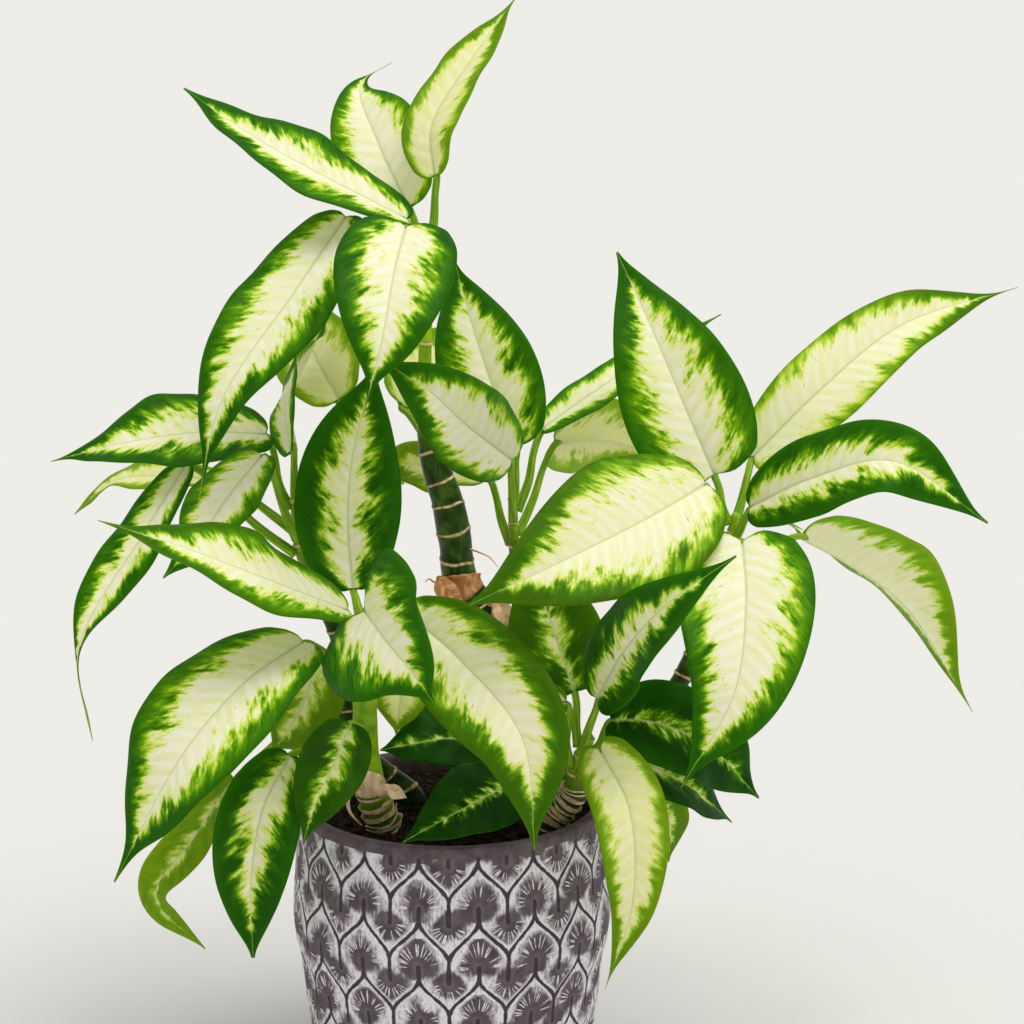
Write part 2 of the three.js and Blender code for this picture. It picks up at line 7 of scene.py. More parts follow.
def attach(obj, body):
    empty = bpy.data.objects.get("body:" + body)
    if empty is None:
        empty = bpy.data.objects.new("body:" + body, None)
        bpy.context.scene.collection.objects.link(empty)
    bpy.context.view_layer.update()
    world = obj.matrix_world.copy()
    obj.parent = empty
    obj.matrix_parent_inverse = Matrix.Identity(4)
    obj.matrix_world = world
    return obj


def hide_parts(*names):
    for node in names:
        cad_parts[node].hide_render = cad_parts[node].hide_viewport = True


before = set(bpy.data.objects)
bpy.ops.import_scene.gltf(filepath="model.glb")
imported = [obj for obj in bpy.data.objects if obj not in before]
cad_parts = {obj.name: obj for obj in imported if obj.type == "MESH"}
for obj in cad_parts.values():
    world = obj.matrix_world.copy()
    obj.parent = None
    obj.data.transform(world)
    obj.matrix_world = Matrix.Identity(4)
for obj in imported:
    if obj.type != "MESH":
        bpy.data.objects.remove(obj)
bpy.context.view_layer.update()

mm = 0.001
print("frame loaded:", len(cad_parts), "nodes")


def paint(*tone):  # a colour given as red, green and blue from 0 to 255, as Blender's linear colour
    return tuple(((c / 255 + 0.055) / 1.055) ** 2.4 if c > 10 else c / 3295 for c in tone) + (1,)


class Signal:  # a value in a node tree, so that sums can be written plainly
    def __init__(self, socket):
        self.socket, self.tree = socket, socket.id_data

    def __add__(self, other):
        return calc("ADD", self, other)

    def __sub__(self, other):
        return calc("SUBTRACT", self, other)

    def __rsub__(self, other):
        return calc("SUBTRACT", other, self)

    def __mul__(self, other):
        return calc("MULTIPLY", self, other)

    def __truediv__(self, other):
        return calc("DIVIDE", self, other)

    def __pow__(self, other):
        return calc("POWER", self, other)

    def __abs__(self):
        return calc("ABSOLUTE", self)

    __radd__ = __add__


def wire(value, socket):
    if isinstance(value, Signal):
        value.tree.links.new(value.socket, socket)
    elif value is not None:
        socket.default_value = value


def grow(tree, kind, *values, out=0, named=None, **settings):  # one node, its inputs in order or by name
    node = tree.nodes.new(kind)
    for name, setting in settings.items():
        setattr(node, name, setting)
    for value, socket in zip(values, node.inputs):
        wire(value, socket)
    for name, value in (named or {}).items():
        wire(value, node.inputs[name])
    return Signal(node.outputs[out])


def treeOf(*values):
    return next(value.tree for value in values if isinstance(value, Signal))


def calc(operation, *values):
    return grow(treeOf(*values), "ShaderNodeMath", *values, operation=operation)


def span(value, low, high, first=0.0, last=1.0, curve="SMOOTHSTEP"):
    return grow(value.tree, "ShaderNodeMapRange", value, low, high, first, last, interpolation_type=curve)


def blend(share, first, second, kind="RGBA"):  # first where share is 0, second where it is 1
    node = treeOf(share, first, second).nodes.new("ShaderNodeMix")
    node.data_type = kind
    start, out = (6, 2) if kind == "RGBA" else (2, 0)
    for value, index in ((share, 0), (first, start), (second, start + 1)):
        wire(value, node.inputs[index])
    return Signal(node.outputs[out])


def ramp(value, *stops):
    colour = grow(value.tree, "ShaderNodeValToRGB", value)
    band = colour.socket.node.color_ramp
    while len(band.elements) < len(stops):
        band.elements.new(0.5)
    for element, (place, tone) in zip(band.elements, stops):
        element.position, element.color = place, tone
    return colour


def mottle(place, scale, detail=2.0, roughness=0.5, out=0):  # soft noise, 0 to 1
    return grow(place.tree, "ShaderNodeTexNoise", out=out,
                named={"Vector": place, "Scale": scale, "Detail": detail, "Roughness": roughness})


def joined(*parts):
    return grow(treeOf(*parts), "ShaderNodeCombineXYZ", *parts)


def split(vector):
    parts = grow(vector.tree, "ShaderNodeSeparateXYZ", vector).socket.node.outputs
    return [Signal(socket) for socket in parts]


def vectorCalc(operation, *values, named=None):
    return grow(treeOf(*values), "ShaderNodeVectorMath", *values, operation=operation, named=named)


def within(value, low, high):  # 1 inside a band of soft sides
    return span(value, *low) * span(value, *high)


def newMaterial(name, **fixed):  # fixed values go straight on the shader's own sockets
    material = bpy.data.materials.new(name)
    material.use_nodes = True
    tree = material.node_tree
    shader = tree.nodes["Principled BSDF"]
    for socket, value in fixed.items():
        shader.inputs[socket.replace("_", " ")].default_value = value
    return material, tree, shader.inputs


def attributeOf(tree, name, out=1):
    return grow(tree, "ShaderNodeAttribute", out=out, attribute_name=name)


def objectSpot(tree):
    return grow(tree, "ShaderNodeTexCoord", out=3)


def finishSkin(skin, colour, roughness=None, height=None, strength=1.0, distance=0.0005):
    wire(colour, skin["Base Color"])
    wire(roughness, skin["Roughness"])
    if height is not None:
        bump = grow(height.tree, "ShaderNodeBump", strength, distance, named={"Height": height})
        wire(bump, skin["Normal"])


def putInScene(name, data):
    thing = bpy.data.objects.new(name, data)
    bpy.context.scene.collection.objects.link(thing)
    return thing


def makePiece(name, points, faces, material, layers=None):
    mesh = bpy.data.meshes.new(name)
    mesh.from_pydata([tuple(point) for point in points], [], faces)
    for layer, values in (layers or {}).items():
        store(mesh, layer, values)
    neat = bmesh.new()
    neat.from_mesh(mesh)
    bmesh.ops.recalc_face_normals(neat, faces=neat.faces)
    neat.to_mesh(mesh)
    neat.free()
    mesh.shade_smooth()
    mesh.materials.append(material)
    return putInScene(name, mesh)


def store(mesh, layer, values):  # one number or three on every point
    if isinstance(values[0], (int, float)):
        mesh.attributes.new(layer, "FLOAT", "POINT").data.foreach_set("value", values)
    else:
        flat = [number for value in values for number in value]
        mesh.attributes.new(layer, "FLOAT_VECTOR", "POINT").data.foreach_set("vector", flat)


def dress(piece, slot, *nodes):  # every piece rides on the one body
    if nodes:
        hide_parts(*nodes)
    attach(piece, "root")


view = {
    "centre": 512,     # pixels, middle of the square view
    "focal": 2827,     # pixels
    "distance": 1600,  # mm from the target
    "pitch": math.radians(13.5),
    "target": Vector((35, 0, 342)),
}
viewAhead = Vector((0, math.cos(view["pitch"]), -math.sin(view["pitch"])))
viewUp = Vector((0, math.sin(view["pitch"]), math.cos(view["pitch"])))
viewEye = view["target"] - viewAhead * view["distance"]


def place(seen):  # pixel across, pixel down and mm behind the pot's axis, to mm
    across, down, behind = seen
    ray = viewAhead + Vector(((across - view["centre"]) / view["focal"], 0, 0))
    ray -= viewUp * ((down - view["centre"]) / view["focal"])
    return viewEye + ray * ((behind - viewEye.y) / ray.y)


class Route:  # a smooth centripetal curve through points, walked by its length
    def __init__(self, stops, finesse=60):
        stops = [Vector(stop) for stop in stops]
        ends = [stops[0] * 2 - stops[1], *stops, stops[-1] * 2 - stops[-2]]
        self.points = []
        for k in range(1, len(ends) - 2):
            before, start, end, after = ends[k - 1:k + 3]
            in_, own, out = (max((b - a).length ** 0.5, 1e-4)
                             for a, b in ((before, start), (start, end), (end, after)))
            leave = ((start - before) / in_ - (end - before) / (in_ + own) + (end - start) / own) * own
            arrive = ((end - start) / own - (after - start) / (own + out) + (after - end) / out) * own
            for i in range(finesse if k < len(ends) - 3 else finesse + 1):
                s = i / finesse
                self.points.append(start * (2 * s**3 - 3 * s**2 + 1) + leave * (s**3 - 2 * s**2 + s)
                                   + end * (3 * s**2 - 2 * s**3) + arrive * (s**3 - s**2))
        self.walked = [0]
        for a, b in zip(self.points, self.points[1:]):
            self.walked.append(self.walked[-1] + (b - a).length)
        self.length = self.walked[-1]

    def at(self, share):
        goal = min(max(share, 0), 1) * self.length
        low, high = 0, len(self.walked) - 1
        while high - low > 1:
            middle = (low + high) // 2
            if self.walked[middle] < goal:
                low = middle
            else:
                high = middle
        part = (goal - self.walked[low]) / max(self.walked[high] - self.walked[low], 1e-6)
        return self.points[low].lerp(self.points[high], part)

    def ahead(self, share):
        return (self.at(min(share + 0.01, 1)) - self.at(max(share - 0.01, 0))).normalized()


caneLook = {
    "soilTop": 161, "holeDepth": 45,   # mm
    "scarStep": 14, "scarRise": 0.5,   # mm of the slow swell along a cane
    "bandWidth": 1.7, "bandRise": 0.6, "slant": 11,  # mm, the fine ridge on each leaf scar
    "roughness": 0.3,                  # mm of uneven bark
    "sides": 40, "step": 0.8,          # mm along a cane
    "buriedFit": 0.96, "fit": 0.99,    # shares of the cane's radius, in the soil and above it
    "tip": 3, "freshening": 14,        # mm of the rounded tip, and over which the bark turns fresh
}

# ringStep is mm between leaf scars and footStep between those at the foot, which reach footHeight mm above
# the soil. upperRings is how strong the scars above are, and the bark turns fresh green at freshFrom mm.
canes = {
    "main": dict(root=(28, 4), radii=(10, 10, 10, 9.5, 4, 2.5), ringStep=16, freshFrom=392,
                 seen=[(506, 740, 6), (508, 670, 10), (492, 622, 12), (461, 580, 10), (455, 540, 8),
                       (447, 500, 8), (432, 455, 8), (425, 380, 8), (427, 300, 6), (430, 236, 4)]),
    "back": dict(root=(36, 36), radii=(7, 6, 5, 4, 2.2), ringStep=14, freshFrom=318,
                 seen=[(528, 740, 36), (522, 640, 36), (515, 556, 34), (512, 490, 34)]),
    "left": dict(root=(-20, 14), radii=(6.5, 6, 5.5, 5, 2.2), ringStep=13, freshFrom=312,
                 seen=[(352, 740, 12), (343, 650, 4), (318, 590, 2), (300, 545, 4), (294, 486, 8)]),
    "front": dict(root=(-37, -30), radii=(9.5, 9.5, 8.5, 7, 7, 4), ringStep=13, freshFrom=182,
                  upperRings=0.12, footStep=5.2, footHeight=22,
                  seen=[(373, 796, -34), (366, 750, -40), (365, 700, -46), (364, 650, -52), (362, 618, -55)]),
    "small": dict(root=(56, -24), radii=(9.5, 9.5, 7, 3), ringStep=11, freshFrom=196, footStep=5.2,
                  footHeight=28, seen=[(573, 794, -28), (579, 765, -34), (590, 734, -42)]),
    "right": dict(root=(55, 14), radii=(8, 6.5, 6, 5.5, 4.5, 2.5), ringStep=13, freshFrom=322,
                  seen=[(611, 757, 13), (680, 681, 12), (712, 600, 6), (732, 535, 2), (736, 512, 2)]),
}
for cane in canes.values():
    x, y = cane["root"]
    buried = (x, y, caneLook["soilTop"] - caneLook["holeDepth"])
    surface = (x, y, caneLook["soilTop"] + 2)
    cane["route"] = Route([buried, surface, *[place(seen) for seen in cane["seen"]]])


def caneRadius(cane, share):
    along = share * (len(cane["radii"]) - 1)
    index = min(int(along), len(cane["radii"]) - 2)
    radius = cane["radii"][index] + (cane["radii"][index + 1] - cane["radii"][index]) * (along - index)
    scar = math.cos(share * cane["route"].length / caneLook["scarStep"] * math.pi)
    return radius + caneLook["scarRise"] * scar * (1 - share)


def shareAtHeight(cane, height):
    low, high = 0.0, 1.0
    while high - low > 1e-6:
        middle = (low + high) / 2
        if cane["route"].at(middle).z < height:
            low = middle
        else:
            high = middle
    return low


leafPaint = {
    "cream": paint(236, 234, 208), "lemon": paint(216, 226, 132), "lime": paint(158, 194, 36),
    "fresh": paint(98, 152, 10), "green": paint(56, 118, 4), "deep": paint(30, 84, 2),
    "darkest": paint(14, 54, 2), "midrib": paint(204, 212, 156), "ribShade": paint(126, 164, 54),
    "veinPale": paint(240, 240, 212), "betweenVeins": paint(220, 222, 164),
    "stalk": paint(162, 194, 60), "stalkShade": paint(98, 148, 24),
    "under": paint(240, 244, 190), "underMargin": paint(140, 190, 36),
    "youngInside": paint(222, 226, 122), "youngMargin": paint(126, 164, 20),
    "veinStep": 9.0,  # mm between side veins
    "creamEnd": 0.89,  # share of the blade's length
}


def leafMaterial():
    look = leafPaint
    material, tree, skin = newMaterial("leafSkin", Subsurface_Weight=0.28, Subsurface_Radius=(0.9, 1.0, 0.2),
                                       Subsurface_Scale=0.004, Specular_IOR_Level=0.05)
    vein, out, seed = split(attributeOf(tree, "veins"))    # mm along the side veins and out from the midrib
    along, edge, kind = split(attributeOf(tree, "blade"))  # kind: 1 above, 0 under, -1 on the stalk
    cream, dark, young = split(attributeOf(tree, "tone"))
    seeded = seed * 17.0

    def cloud(acrossVeins, outwards, shift, detail, rough):
        return mottle(joined(vein * acrossVeins, out * outwards, seeded + shift), 1.0, detail, rough)

    patches = cloud(0.07, 0.06, 0.0, 2.0, 0.5)
    tongues = cloud(0.17, 0.10, 3.1, 3.0, 0.6)
    streaks = cloud(0.42, 0.17, 5.7, 4.0, 0.65)
    flecks = cloud(1.2, 0.6, 8.3, 2.0, 0.6)
    reach = cream * (1.0 - (abs(along) / look["creamEnd"]) ** 5.0)
    ragged = (patches - 0.5) * 0.95 + (tongues - 0.5) * 0.95
    ragged += (streaks - 0.5) * 0.65 * span(patches, 0.3, 0.7, 0.5, 1.3)
    ragged = (ragged + (flecks - 0.5) * 0.2) * span(edge, 0.5, 1.0, 1.0, 0.35)
    border = edge - reach + (ragged + 0.07)  # below 0 in the pale middle, above it in the green margin

    colour = ramp(border + 0.5, (0.20, look["cream"]), (0.36, look["lemon"]), (0.455, look["lime"]),
                  (0.54, look["fresh"]), (0.64, look["green"]), (0.84, look["deep"]))
    inside = span(border, 0.05, -0.3)
    tint = span(cloud(0.25, 0.05, 11.9, 2.0, 0.5), 0.42, 0.7)
    colour = blend(tint * inside * 0.45, colour, look["lemon"])
    islands = span(cloud(0.5, 0.2, 14.3, 3.0, 0.7) + edge * 0.16, 0.70, 0.78)
    colour = blend(islands * inside * 0.75, colour, look["fresh"])
    youngTone = blend(span(border, -0.25, 0.2), look["youngInside"], look["youngMargin"])
    colour = blend(young * span(tongues, 0.3, 0.7, 0.6, 0.95), colour, youngTone)
    # the margin darkened toward the darkest green: partly the leaf's own deep green, partly painted shade,
    # strongest on the low leaves under the others
    deepGreenAndPaintedShade = dark * span(border, -0.05, 0.3) * span(patches, 0.3, 0.7, 0.55, 1.0)
    colour = blend(deepGreenAndPaintedShade, colour, look["darkest"])

    ridge = calc("PINGPONG", vein / look["veinStep"] + patches * 0.9, 0.5)  # 0 on a side vein, 0.5 between
    fade = span(edge, 0.95, 0.25)
    colour = blend(span(ridge, 0.1, 0.5) * fade * inside * 0.4, colour, look["betweenVeins"])
    veinLine = span(ridge, 0.0, 0.08, 1.0, 0.0) * fade * span(border, 0.05, -0.25)
    colour = blend(veinLine * 0.4, colour, look["veinPale"])
    ribWidth = span(along, 0.0, 0.9, 1.3, 0.3, "LINEAR")
    rib = span(abs(out) / ribWidth, 0.3, 1.0, 1.0, 0.0)
    ribTone = blend(span(border, -0.2, 0.2), look["midrib"], look["ribShade"])
    colour = blend(rib * 0.8, colour, ribTone)
    under = span(kind, 0.6, 0.4)
    colour = blend(under * 0.36, colour, blend(inside, look["underMargin"], look["under"]))
    stalk = blend(span(cloud(0.05, 1.4, 17.9, 2.0, 0.5), 0.35, 0.7), look["stalkShade"], look["stalk"])
    colour = blend(span(kind, -0.4, -0.6), colour, stalk)

    height = span(ridge, 0.0, 0.5) * fade + flecks * 0.15 - rib * 0.3
    finishSkin(skin, colour, span(border, -0.2, 0.3, 0.52, 0.38) + streaks * 0.12, height, 0.35)
    return material


bladeLook = {
    "thickness": 0.8, "edgeThickness": 0.3,   # mm
    "edgeWaves": 12, "edgeLag": 2,            # radians of wave along an edge, and between the two edges
    "fineWaves": 31, "fineShare": 0.22,       # the smaller waves on them
    "usualFold": 0.3, "flare": 0.16,          # how the sides rise from the midrib and flatten again
    "usualSwell": 0.65, "usualDraw": 0.85, "usualTail": 0.07, "tailEase": 0.035, "baseWidth": 0.06,
    "usualHeart": 0.03, "usualWave": 2, "usualCream": 0.78,
    "tipHalf": 0.45, "tipLeast": 0.05,        # mm
    "lobeLength": 0.09, "lobeFrom": 0.18, "baseRounding": 0.06, "thinning": 0.5,
    "stalkRadius": 2.1, "sheathRadius": 3, "sheathShare": 0.6, "stalkReach": 1.5,
    "stalkBow": 0.06, "stalkArch": 0.05, "fitGap": 0.3,
    "neckFrom": 0.86, "neckTaper": 0.55, "ribRun": 7,       # where a stalk thins into its blade's rib
    "channelDepth": 0.22, "channelNarrow": 3.2,             # the channel along a stalk
    "grooveDepth": 0.45, "grooveWidth": 1.3, "grooveFade": 0.7, "ribWidth": 1.9,
    "stations": 84, "columnsAside": 13, "crowding": 1.45,   # how finely a blade is cut, closest at the midrib
    "stalkRings": 26, "stalkSides": 16, "evenly": 0.35,
    "veinSlant": 0.62, "veinBend": 0.006, "otherSide": 40,  # how side veins lean, and mm between sides
}
toViewer = (0, -0.95, 0.3)
toSky = (0, -0.5, 0.87)

# joins is the height on the cane, seen runs base, third, far, tip along the midrib, width is in mm.
# heart, swell, draw and tail shape the outline, fold is the fold along the midrib and wave the edge's, in mm.
# cream is how far the pale middle reaches, dark deepens the margin, partly the leaf's own deep green and
# partly painted shade on the low leaves inside the plant, and young yellows the blade. A leaf that doesn't
# say which way it faces looks to the viewer, and its cane is the one in its name.
leaves = {
    "leaf_main_1": dict(
        joins=478, width=51, seen=[(406, 218, 0), (332, 180, -8), (256, 138, -4), (184, 88, 10)],
        facing=(0.1, -0.45, 0.9), heart=0.05, wave=2.5, cream=0.68, dark=0.2),
    "leaf_main_2": dict(
        joins=484, width=54, seen=[(408, 206, 24), (378, 142, 46), (361, 84, 80), (392, 62, 96)],
        facing=(-0.1, -0.9, 0.4), tail=0.2, cream=0.82),
    "leaf_main_3": dict(
        joins=493, width=39, seen=[(434, 174, 4), (431, 128, 14), (472, 58, 34), (518, -6, 58)],
        facing=(-0.6, -0.7, 0.3), draw=1, cream=0.8, young=0.5),
    "leaf_main_4": dict(
        joins=466, width=64, seen=[(406, 226, -38), (394, 272, -78), (382, 340, -106), (363, 416, -112)],
        heart=0.05, swell=0.5, draw=0.7, tail=0.17, cream=0.66, dark=0.4),
    "leaf_main_5": dict(
        joins=456, width=56, seen=[(346, 217, -2), (292, 295, -42), (221, 402, -72), (197, 508, -70)],
        facing=(-0.3, -0.8, 0.5), tail=0.16, wave=3, cream=0.72, dark=0.3),
    "leaf_main_6": dict(
        joins=384, width=54, seen=[(404, 404, 40), (428, 378, 74), (452, 346, 100), (474, 312, 112)],
        heart=0.05, cream=0.85, young=0.6),
    "leaf_back_1": dict(
        joins=340, width=58, seen=[(516, 446, 20), (494, 390, 24), (473, 328, 34), (455, 262, 50)],
        heart=0.02, swell=0.6, cream=0.66, dark=0.5),
    "leaf_back_2": dict(
        joins=330, width=50, seen=[(512, 460, 2), (468, 426, -36), (428, 390, -60), (388, 364, -62)],
        swell=0.65, draw=0.75, tail=0.03, cream=0.85, dark=0.2),
    "leaf_back_3": dict(
        joins=334, width=27, seen=[(543, 428, 46), (592, 393, 72), (652, 354, 104), (721, 314, 126)],
        facing=(0.2, -0.3, 0.9), heart=0.05, cream=0.7),
    "leaf_back_4": dict(
        joins=320, width=52, seen=[(554, 442, 62), (590, 438, 92), (628, 444, 118), (664, 464, 130)],
        facing=(0.1, 0.95, 0.1), heart=0.05, cream=0.8, young=1),
    "leaf_back_5": dict(
        joins=314, width=44, seen=[(487, 477, 50), (444, 468, 72), (410, 464, 88), (386, 468, 88)],
        facing=(0, -0.6, 0.8), heart=0.05, draw=0.5, tail=0.02, wave=3, cream=0.8, young=0.6),
    "leaf_left_1": dict(
        joins=342, width=60, seen=[(266, 434, 14), (200, 432, 0), (128, 442, -8), (51, 461, 0)],
        facing=toSky, heart=0.04, tail=0.12, wave=2.5, cream=0.62, dark=0.3),
    "leaf_left_2": dict(
        joins=330, width=26, seen=[(218, 480, 44), (166, 476, 60), (112, 482, 84), (74, 514, 96)],
        facing=toSky, cream=0.8, young=0.8),
    "leaf_left_3": dict(
        joins=318, width=37, seen=[(185, 466, -10), (143, 534, -34), (78, 650, -58), (92, 741, -60)],
        facing=(-0.6, -0.75, 0.25), tail=0.27, wave=2.5, cream=0.62, dark=0.4),
    "leaf_left_4": dict(
        joins=326, width=42, seen=[(262, 455, -26), (230, 494, -46), (196, 543, -66), (163, 578, -70)],
        facing=(-0.3, -0.7, 0.6), cream=0.75),
    "leaf_left_5": dict(
        joins=350, width=40, seen=[(290, 450, -12), (286, 400, 6), (310, 350, 36), (337, 301, 56)],
        facing=(-0.9, -0.25, 0.3), heart=0.04, tail=0.1, wave=3, cream=0.75),
    "leaf_left_6": dict(
        joins=340, width=50, seen=[(338, 398, 40), (318, 362, 60), (300, 322, 80), (282, 280, 92)],
        heart=0.05, wave=3, cream=0.85, young=0.6),
    "leaf_left_7": dict(
        joins=252, width=44, seen=[(318, 652, -24), (308, 690, -34), (294, 722, -34), (272, 752, -24)],
        heart=0.06, cream=0.35, young=0.5),
    "leaf_left_8": dict(
        joins=226, width=30, seen=[(232, 780, -30), (190, 842, -52), (155, 896, -66), (205, 949, -62)],
        facing=(-0.6, -0.75, 0.3), heart=0.05, cream=0.2, young=0.8),
    "leaf_front_1": dict(
        joins=286, width=58, seen=[(348, 610, -62), (270, 580, -94), (180, 546, -114), (98, 520, -122)],
        facing=toSky, tail=0.12, wave=2.5, cream=0.72, young=0.1),
    "leaf_front_2": dict(
        joins=294, width=60, seen=[(353, 588, -40), (348, 528, -28), (352, 460, -10), (376, 362, 8)],
        cream=0.48, dark=0.7),
    "leaf_front_3": dict(
        joins=282, width=84, seen=[(364, 611, -98), (385, 640, -123), (408, 668, -143), (433, 702, -150)],
        facing=(-0.5, -0.85, 0.2), heart=0.16, swell=0.3, draw=0.8, cream=0.62),
    "leaf_front_4": dict(
        joins=272, width=62, seen=[(404, 612, -66), (460, 660, -102), (522, 738, -130), (535, 850, -142)],
        swell=0.85, draw=0.9, wave=2.5, cream=0.7, dark=0.3, young=0.15),
    "leaf_front_5": dict(
        joins=264, width=72, seen=[(304, 641, -70), (245, 682, -104), (184, 752, -128), (114, 882, -132)],
        facing=(-0.3, -0.7, 0.65), heart=0.02, swell=0.6, draw=0.62, tail=0.15, wave=3, cream=0.76, dark=0.3),
    "leaf_front_6": dict(
        joins=216, width=46, seen=[(290, 756, -70), (263, 808, -92), (251, 880, -98), (253, 958, -94)],
        tail=0.05, cream=0.45, dark=0.6),
    "leaf_front_7": dict(
        joins=232, width=38, seen=[(350, 724, -64), (335, 760, -84), (317, 800, -98), (303, 842, -102)],
        cream=0.26, dark=0.7, young=0.1),
    "leaf_front_8": dict(
        joins=258, width=34, seen=[(402, 656, -12), (401, 682, -16), (399, 708, -20), (396, 734, -20)],
        wave=1.5, cream=0.8, young=0.8),
    "leaf_low_1": dict(
        cane="main", joins=196, width=44,
        seen=[(478, 743, -2), (450, 738, -12), (412, 744, -20), (380, 750, -22)],
        facing=(0, -0.6, 0.8), heart=0.04, cream=0.08, dark=1),
    "leaf_low_2": dict(
        cane="main", joins=178, width=46,
        seen=[(522, 778, -32), (490, 794, -56), (446, 818, -76), (403, 842, -88)],
        facing=(0, -0.7, 0.7), heart=0.04, cream=0.08, dark=1.2),
    "leaf_small_1": dict(
        joins=218, width=44, seen=[(597, 698, -70), (626, 648, -114), (671, 601, -155), (736, 556, -160)],
        facing=(-0.3, -0.85, 0.4), heart=0.05, cream=0.5, dark=0.5),
    "leaf_small_2": dict(
        joins=212, width=54, seen=[(574, 690, -34), (560, 650, -22), (545, 606, -14), (522, 556, -8)],
        heart=0.05, cream=0.22, dark=0.6, young=0.15),
    "leaf_small_3": dict(
        joins=212, width=54, seen=[(612, 720, -48), (652, 722, -54), (706, 744, -48), (759, 798, -30)],
        facing=(0.1, -0.75, 0.65), heart=0.05, wave=2.5, cream=0.12, dark=1),
    "leaf_small_4": dict(
        joins=196, width=46, seen=[(612, 748, -26), (646, 762, -30), (692, 788, -24), (732, 822, -8)],
        facing=toSky, heart=0.04, cream=0.2, dark=0.9),
    "leaf_small_5": dict(
        joins=201, width=40, seen=[(600, 750, -78), (630, 812, -112), (633, 900, -122), (605, 990, -116)],
        heart=0.06, swell=0.6, draw=1.15, cream=0.8, young=0.55),
    "leaf_small_6": dict(
        joins=188, width=36, seen=[(628, 772, -12), (654, 796, 0), (670, 822, 14), (669, 862, 30)],
        facing=(0.3, -0.7, 0.6), heart=0.04, wave=1.5, cream=0.3, young=0.4),
    "leaf_small_7": dict(
        joins=204, width=26, seen=[(566, 702, -60), (548, 700, -62), (528, 694, -60), (512, 698, -54)],
        facing=(-0.1, -0.6, 0.8), heart=0.04, wave=1.5, cream=0.5, young=0.4),
    "leaf_right_1": dict(
        joins=334, width=72, seen=[(714, 474, 2), (690, 418, 8), (656, 338, 24), (617, 252, 56)],
        swell=0.5, draw=1.1, tail=0.03, wave=2.5, cream=0.66, dark=0.3),
    "leaf_right_2": dict(
        joins=322, width=80, seen=[(706, 484, -24), (640, 522, -72), (560, 562, -110), (469, 605, -126)],
        facing=(-0.15, -0.92, 0.35), swell=0.8, draw=1, tail=0.05, wave=3, cream=0.85, dark=0.4, young=0.2),
    "leaf_right_3": dict(
        joins=336, width=48, seen=[(754, 456, 24), (816, 394, 34), (900, 326, 60), (1018, 287, 96)],
        facing=(0.1, -0.75, 0.65), heart=0.04, swell=0.6, draw=0.85, tail=0.12, wave=2.5,
        cream=0.95, young=0.15),
    "leaf_right_4": dict(
        joins=326, width=50, seen=[(750, 507, -12), (815, 477, -42), (893, 461, -64), (988, 523, -66)],
        facing=(0, -0.8, 0.6), wave=2.5, cream=0.55, dark=0.5),
    "leaf_right_5": dict(
        joins=310, width=56, seen=[(803, 533, 18), (848, 560, 50), (907, 606, 82), (973, 712, 100)],
        facing=(0.4, 0.78, 0.48), tail=0.13, fold=0.8, wave=2.5, cream=0.82),
    "leaf_right_6": dict(
        joins=306, width=74, seen=[(742, 541, -49), (746, 604, -86), (734, 694, -114), (681, 788, -120)],
        heart=0.06, swell=0.5, draw=1, cream=0.78, dark=0.3),
}

# Dried sheaths left on the canes, shaped as small blades
huskLook = {"heart": 0, "wave": 0.5}
husks = {
    "husk_main_1": dict(joins=302, width=12, pale=0.1,
                        seen=[(440, 580, -6), (444, 588, -9), (452, 596, -10), (464, 604, -10)]),
    "husk_main_2": dict(joins=284, width=11, pale=0.45,
                        seen=[(497, 600, -2), (502, 610, -6), (507, 622, -8), (511, 636, -8)]),
    "husk_front_1": dict(joins=196, width=8, pale=0.7,
                         seen=[(352, 782, -50), (346, 792, -53), (341, 800, -54), (336, 808, -54)]),
    "husk_front_2": dict(joins=190, width=8, pale=0.8,
                         seen=[(388, 788, -50), (395, 792, -53), (401, 795, -54), (407, 798, -54)]),
}


def outline(share, leaf):  # half a blade's width over its greatest: rounded base, full sides and a thin tail
    look = bladeLook
    swell, draw = leaf.get("swell", look["usualSwell"]), leaf.get("draw", look["usualDraw"])
    ease, base = look["tailEase"], look["baseWidth"]

    def shape(s):
        return (s + base) ** swell * (ease * math.log(1 + math.exp((1 - s) / ease))) ** draw

    rounding = math.sqrt(1 - (1 - min(share / look["baseRounding"], 1)) ** 2)
    widest = shape((swell - draw * base) / (swell + draw))
    return shape(share / (1 - leaf.get("tail", look["usualTail"]))) / widest * rounding


def closedSheet(top, bottom):  # faces over and under a sheet, given as two grids of points, and round its rim
    faces = []
    rows, columns = len(top) - 1, len(top[0]) - 1
    for i in range(rows):
        for j in range(columns):
            faces.append((top[i][j], top[i][j + 1], top[i + 1][j + 1], top[i + 1][j]))
            faces.append((bottom[i][j], bottom[i + 1][j], bottom[i + 1][j + 1], bottom[i][j + 1]))
        faces.append((top[i][0], top[i + 1][0], bottom[i + 1][0], bottom[i][0]))
        faces.append((top[i][columns], bottom[i][columns], bottom[i + 1][columns], top[i + 1][columns]))
    for j in range(columns):
        faces.append((top[0][j], bottom[0][j], bottom[0][j + 1], top[0][j + 1]))
        faces.append((top[rows][j], top[rows][j + 1], bottom[rows][j + 1], bottom[rows][j]))
    return faces


def tubeFaces(rings):
    faces = [tuple(rings[0]), tuple(reversed(rings[-1]))]
    for a, b in zip(rings, rings[1:]):
        for j in range(len(a)):
            k = (j + 1) % len(a)
            faces.append((a[j], a[k], b[k], b[j]))
    return faces


def squareTo(ahead, wish):  # the wished direction, turned square to the way ahead
    return (wish - ahead * wish.dot(ahead)).normalized()


class Skin:  # the points of a piece, with what its material is told at each
    def __init__(self, **layers):
        self.points, self.layers = [], {name: [] for name in layers}

    def add(self, point, **told):
        self.points.append(point * mm)
        for name, value in told.items():
            self.layers[name].append(value)
        return len(self.points) - 1


